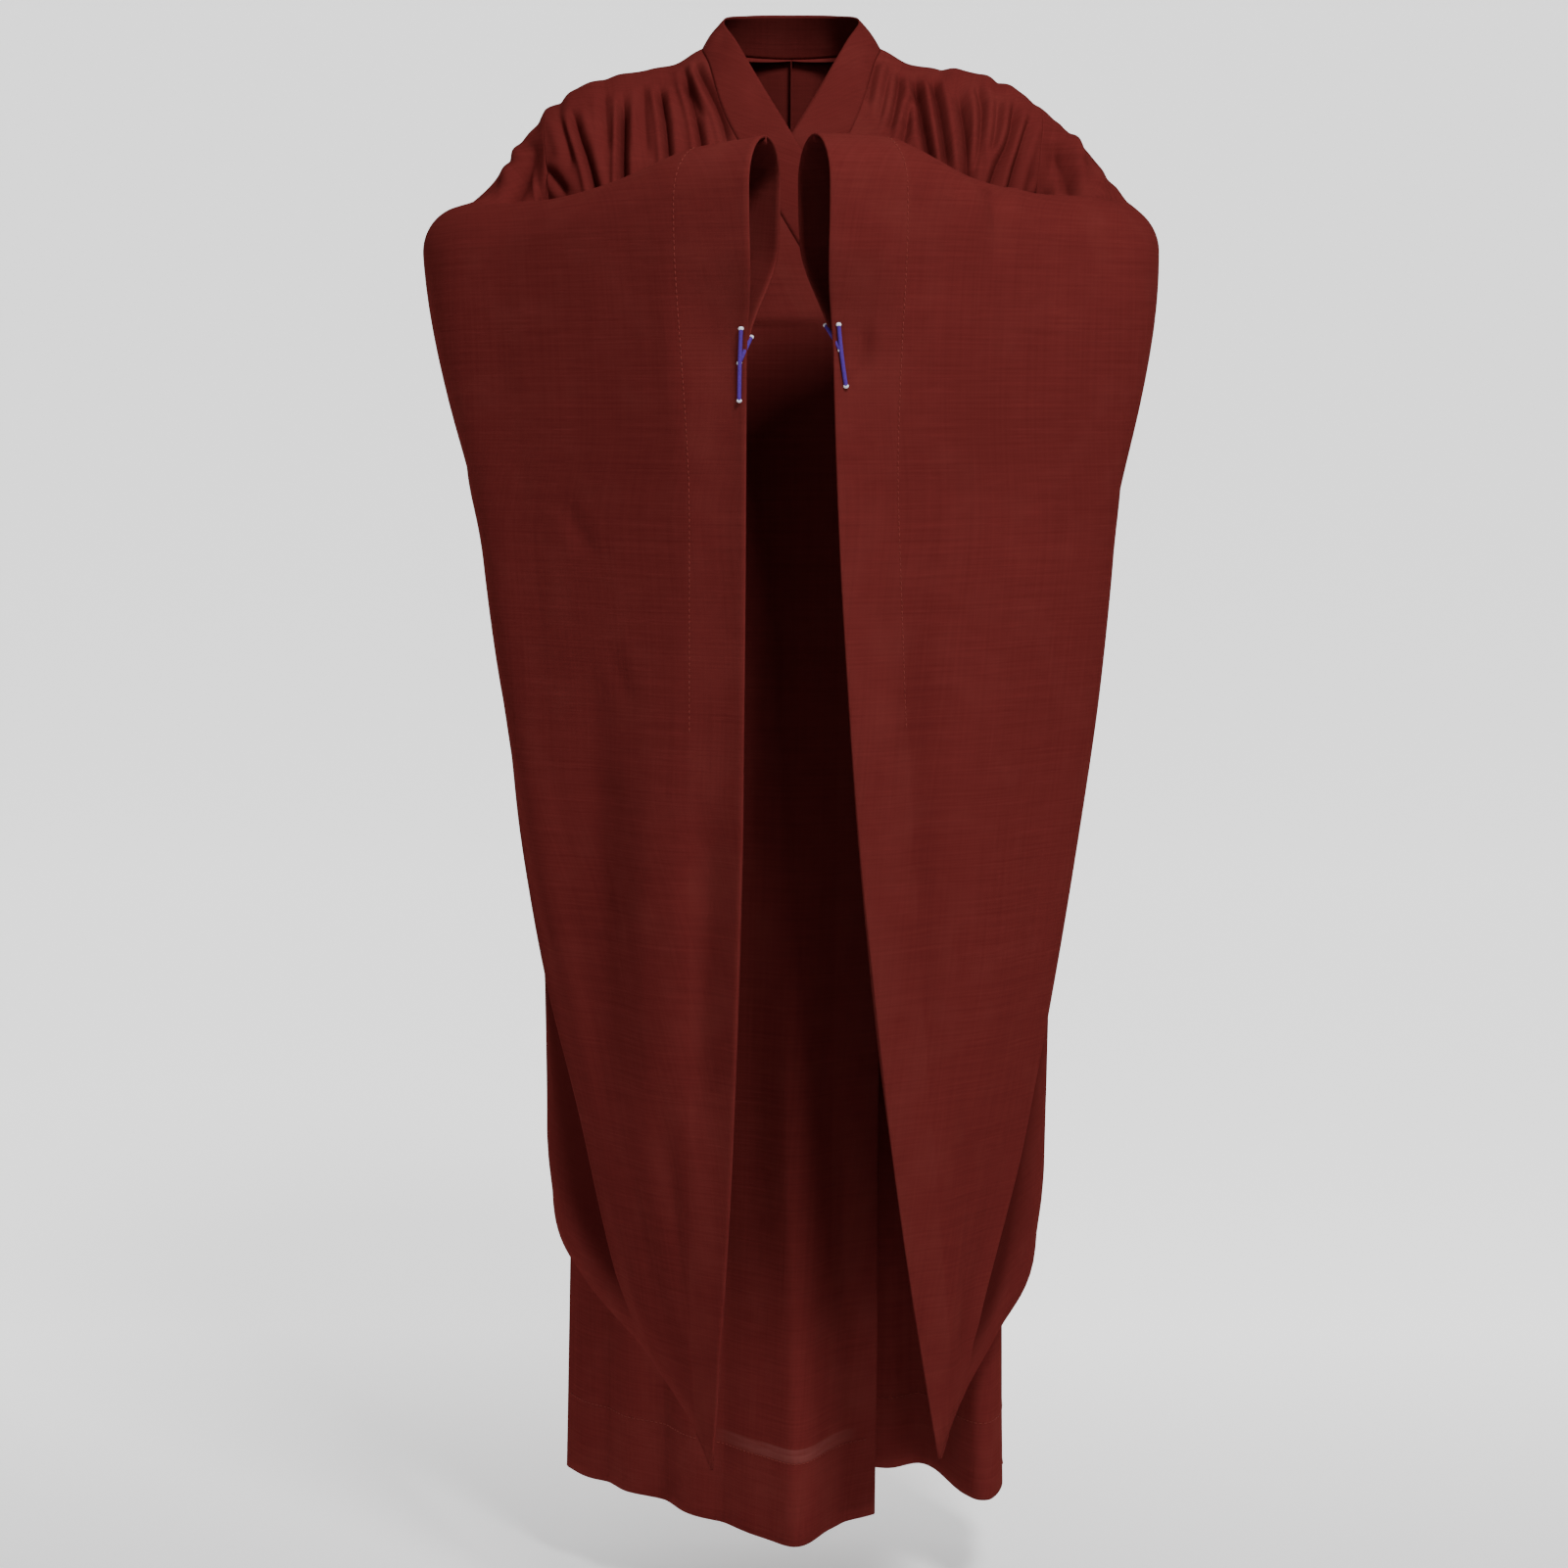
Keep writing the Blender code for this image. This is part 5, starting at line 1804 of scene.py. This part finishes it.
@dataclass
class Studio:
    """The floor, the lights and the camera."""

    floor_z: float = -1.470
    half_width: float = 14.0
    front: float = -12.0
    back: float = 9.0
    wall_top: float = 10.0
    bend: float = 4.5
    bend_segments: int = 24
    margin: float = 0.01
    air: float = 0.15
    key: Lamp = Lamp("key", (1.00, -2.45, 2.25), 0.9, 146.0)
    fill: Lamp = Lamp("fill", (-1.2, -3.5, 1.0), 2.0, 14.0)
    aim: tuple[float, float, float] = (0.0, -0.1, -0.6)
    camera_place: tuple[float, float, float] = (-0.007, -3.2, -0.286)
    camera_down: float = 7.05
    focal_px: float = 3368.0
    image_px: float = 1601.0
    sensor: float = 36.0

    def build(self) -> bpy.types.Object:
        """Set up the studio.

        Returns:
            The floor with its backdrop.
        """
        paper = self._backdrop()
        self._lights()
        self._camera()
        return paper

    def _backdrop(self) -> bpy.types.Object:
        """Model a floor that sweeps up into a wall behind the robe.

        Returns:
            The floor and its wall, in one piece.
        """
        deselect_all()
        bpy.ops.mesh.primitive_plane_add(size=1.0, location=(0.0, 0.0, 0.0))
        paper = bpy.context.object
        paper.name = "studio_paper"
        mesh = paper.data
        corners = ((-1, self.front), (1, self.front), (-1, self.back), (1, self.back))
        for vert, (side, deep) in zip(mesh.vertices, corners):
            vert.co = (side * self.half_width, deep, self.floor_z)
        bpy.ops.object.mode_set(mode="EDIT")
        bpy.ops.mesh.select_mode(type="EDGE")
        bpy.ops.mesh.select_all(action="DESELECT")
        bpy.ops.object.mode_set(mode="OBJECT")
        for edge in mesh.edges:
            edge.select = all(mesh.vertices[index].co.y > self.back - self.margin for index in edge.vertices)
        bpy.ops.object.mode_set(mode="EDIT")
        rise = self.wall_top - self.floor_z
        bpy.ops.mesh.extrude_region_move(TRANSFORM_OT_translate={"value": (0.0, 0.0, rise)})
        bpy.ops.mesh.select_all(action="DESELECT")
        bpy.ops.object.mode_set(mode="OBJECT")
        for edge in mesh.edges:
            ends = [mesh.vertices[index].co for index in edge.vertices]
            edge.select = all(
                end.y > self.back - self.margin and end.z < self.floor_z + self.margin for end in ends
            )
        bpy.ops.object.mode_set(mode="EDIT")
        bpy.ops.mesh.bevel(offset=self.bend, segments=self.bend_segments, affect="EDGES")
        bpy.ops.object.mode_set(mode="OBJECT")
        bpy.ops.object.shade_smooth()
        mesh.materials.append(BackdropFinish().material())
        return paper

    def _lights(self) -> None:
        """Hang soft lights: the key from the upper front at the right of the picture, and a wide fill."""
        world = bpy.data.worlds.new("studio_air")
        bpy.context.scene.world = world
        world.use_nodes = True
        background = world.node_tree.nodes["Background"].inputs
        background["Color"].default_value = (1.0, 1.0, 1.0, 1.0)
        background["Strength"].default_value = self.air
        for lamp in (self.key, self.fill):
            self._hang(lamp)

    def _hang(self, lamp: Lamp) -> None:
        """Hang one square light that faces the robe.

        Args:
            lamp: The light.
        """
        data = bpy.data.lights.new(lamp.name, "AREA")
        data.size = lamp.size
        data.energy = lamp.watts
        light = bpy.data.objects.new(lamp.name, data)
        bpy.context.collection.objects.link(light)
        light.location = lamp.place
        aim = np.array(self.aim) - np.array(lamp.place)
        level = math.hypot(aim[0], aim[1])
        light.rotation_euler = (math.atan2(level, -aim[2]), 0.0, math.atan2(-aim[0], aim[1]))

    def _camera(self) -> None:
        """Stand the camera where the photograph was taken from."""
        data = bpy.data.cameras.new("camera")
        data.sensor_width = self.sensor
        data.lens = self.focal_px / self.image_px * self.sensor
        camera = bpy.data.objects.new("camera", data)
        bpy.context.collection.objects.link(camera)
        camera.location = self.camera_place
        camera.rotation_euler = (math.radians(90.0 - self.camera_down), 0.0, 0.0)
        bpy.context.scene.camera = camera


@dataclass(frozen=True)
class Cut:
    """The flat size of a panel before it was sewn: width, length and area."""

    width: float
    length: float
    area: float


@dataclass
class Robe:
    """The whole robe: it cuts, folds, sews and dresses every piece."""

    cloth: ClothFinish
    band_cloth: ClothFinish
    sewing: Sewing
    cuff_stitch_start: int = 4
    cuff_stitch_end: int = -40
    hem_stitch_margin: int = 3
    panels: list[Panel] = field(default_factory=list)
    pieces: dict[str, bpy.types.Object] = field(default_factory=dict)

    def cut(self) -> None:
        """Work out every panel, press its folds and bring the seams together."""
        band = CollarBand()
        body = Body(band)
        right = Sleeve(Side.RIGHT, RIGHT_STATIONS, RIGHT_OUTER_FOLDS, RIGHT_INNER_FOLDS, RIGHT_ELBOW_FOLD)
        left = Sleeve(Side.LEFT, LEFT_STATIONS, LEFT_OUTER_FOLDS, LEFT_INNER_FOLDS, LEFT_ELBOW_FOLD)
        for sleeve in (right, left):
            outer, inner = sleeve.panels()
            self.panels += [*body.panels(sleeve.side, inner, outer), outer, inner]
        self.panels.append(band.panel())
        for panel in self.panels:
            panel.press_folds()
        sew_together(self.panels)

    def dress(self) -> None:
        """Make each panel's mesh in place of its solid, and give it its cloth."""
        cloth = self.cloth.material()
        band = self.band_cloth.material()
        for panel in self.panels:
            node = panel.name.removesuffix("_cloth")
            piece = panel.build()
            is_band = node == "collar_band"
            piece.data.materials.append(band if is_band else cloth)
            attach(piece, "root")
            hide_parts(node)
            self.pieces[node] = piece
            LOG.info("%s: %d faces", piece.name, len(piece.data.polygons))

    def sew(self) -> None:
        """Add the stitch lines of the cuffs and the hem."""
        lines = []
        for panel in self.panels:
            if "sleeve" in panel.name:
                column = self._hem_line(panel, 1)
                lines.append(self._line(panel, np.s_[self.cuff_stitch_start : self.cuff_stitch_end, column]))
            elif "front" in panel.name or "back" in panel.name:
                row = self._hem_line(panel, 0)
                lines.append(self._line(panel, np.s_[row, self.hem_stitch_margin : -self.hem_stitch_margin]))
        stitches = self.sewing.run("hem_stitches", lines)
        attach(stitches, "root")
        LOG.info("hem_stitches: %d faces", len(stitches.data.polygons))

    def tack(self) -> None:
        """Tie the tacks that close each cuff below the hand."""
        panels = {panel.name: panel for panel in self.panels}
        for side, tack in TACKS.items():
            label = side.name.lower()
            outer = panels[f"sleeve_{label}_outer_cloth"]
            inner = panels[f"sleeve_{label}_inner_cloth"]
            line = [outer.spot(place, TACK_LIFT) for place in tack.line]
            end = inner.spot(tack.arm, TACK_LIFT)
            arm = [end, (end + line[tack.joint]) / 2 + np.array((0.0, -TACK_ARM_BOW, 0.0)), line[tack.joint]]
            made = [
                self.sewing.thread(f"cuff_tack_{label}", line),
                self.sewing.thread(f"cuff_tack_arm_{label}", arm),
                self.sewing.knots(f"cuff_knots_{label}", [*line, arm[0]]),
            ]
            for piece in made:
                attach(piece, "root")
                LOG.info("%s: %d faces", piece.name, len(piece.data.polygons))

    @staticmethod
    def _hem_line(panel: Panel, axis: int) -> int:
        """Find the grid line that a hem reaches, counted from the last.

        Args:
            panel: The panel.
            axis: 0 for the hem at its last row, 1 for the one at its last column.

        Returns:
            The line's place, which is negative.
        """
        edge = panel.bottom if axis == 0 else panel.last
        spacing = np.linalg.norm(np.diff(panel.points, axis=axis), axis=2).mean(axis=1 - axis)[::-1]
        return -2 - int(np.searchsorted(np.cumsum(spacing), edge.allowance))

    @staticmethod
    def _line(panel: Panel, where: tuple) -> tuple[np.ndarray, np.ndarray]:
        """Take a grid line's points on the face of the cloth, with its normals."""
        normals = grid_normals(panel.points, panel.turn)[where]
        return panel.points[where] + normals * CLOTH_THICKNESS / 2, normals


@dataclass(frozen=True)
class Tack:
    """Where a cuff's tack lies in the front view: its line, the end of its arm and where that joins."""

    line: tuple[Place, ...]
    arm: Place
    joint: int


TACK_LIFT = 0.0020
TACK_ARM_BOW = 0.006
TACKS = {
    Side.RIGHT: Tack(((-0.0420, -0.2480), (-0.0428, -0.2780), (-0.0430, -0.3060)), (-0.0350, -0.2530), 1),
    Side.LEFT: Tack(((0.0400, -0.2390), (0.0395, -0.2650), (0.0430, -0.2930)), (0.0285, -0.2450), 1),
}


def main() -> None:
    """Build the studio and the robe."""
    logging.basicConfig(level=logging.INFO, format="%(message)s")
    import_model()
    paper = Studio().build()
    sewing = Sewing(
        stitch=ThreadFinish("maroon_thread", (0.150, 0.022, 0.018), (0.200, 0.038, 0.030)),
        tack=ThreadFinish("purple_thread", (0.050, 0.016, 0.190), (0.110, 0.045, 0.320)),
        knot=ThreadFinish("white_thread", (0.700, 0.690, 0.780), (0.860, 0.850, 0.920)),
    )
    robe = Robe(
        ClothFinish("maroon_robe_cloth"),
        ClothFinish("maroon_band_cloth", (0.084, 0.0122, 0.0115), (0.128, 0.0200, 0.0182)),
        sewing,
    )
    robe.cut()
    robe.dress()
    robe.sew()
    robe.tack()
    LOG.info("robe: %d pieces", len(robe.pieces))


if __name__ == "__main__":
    main()
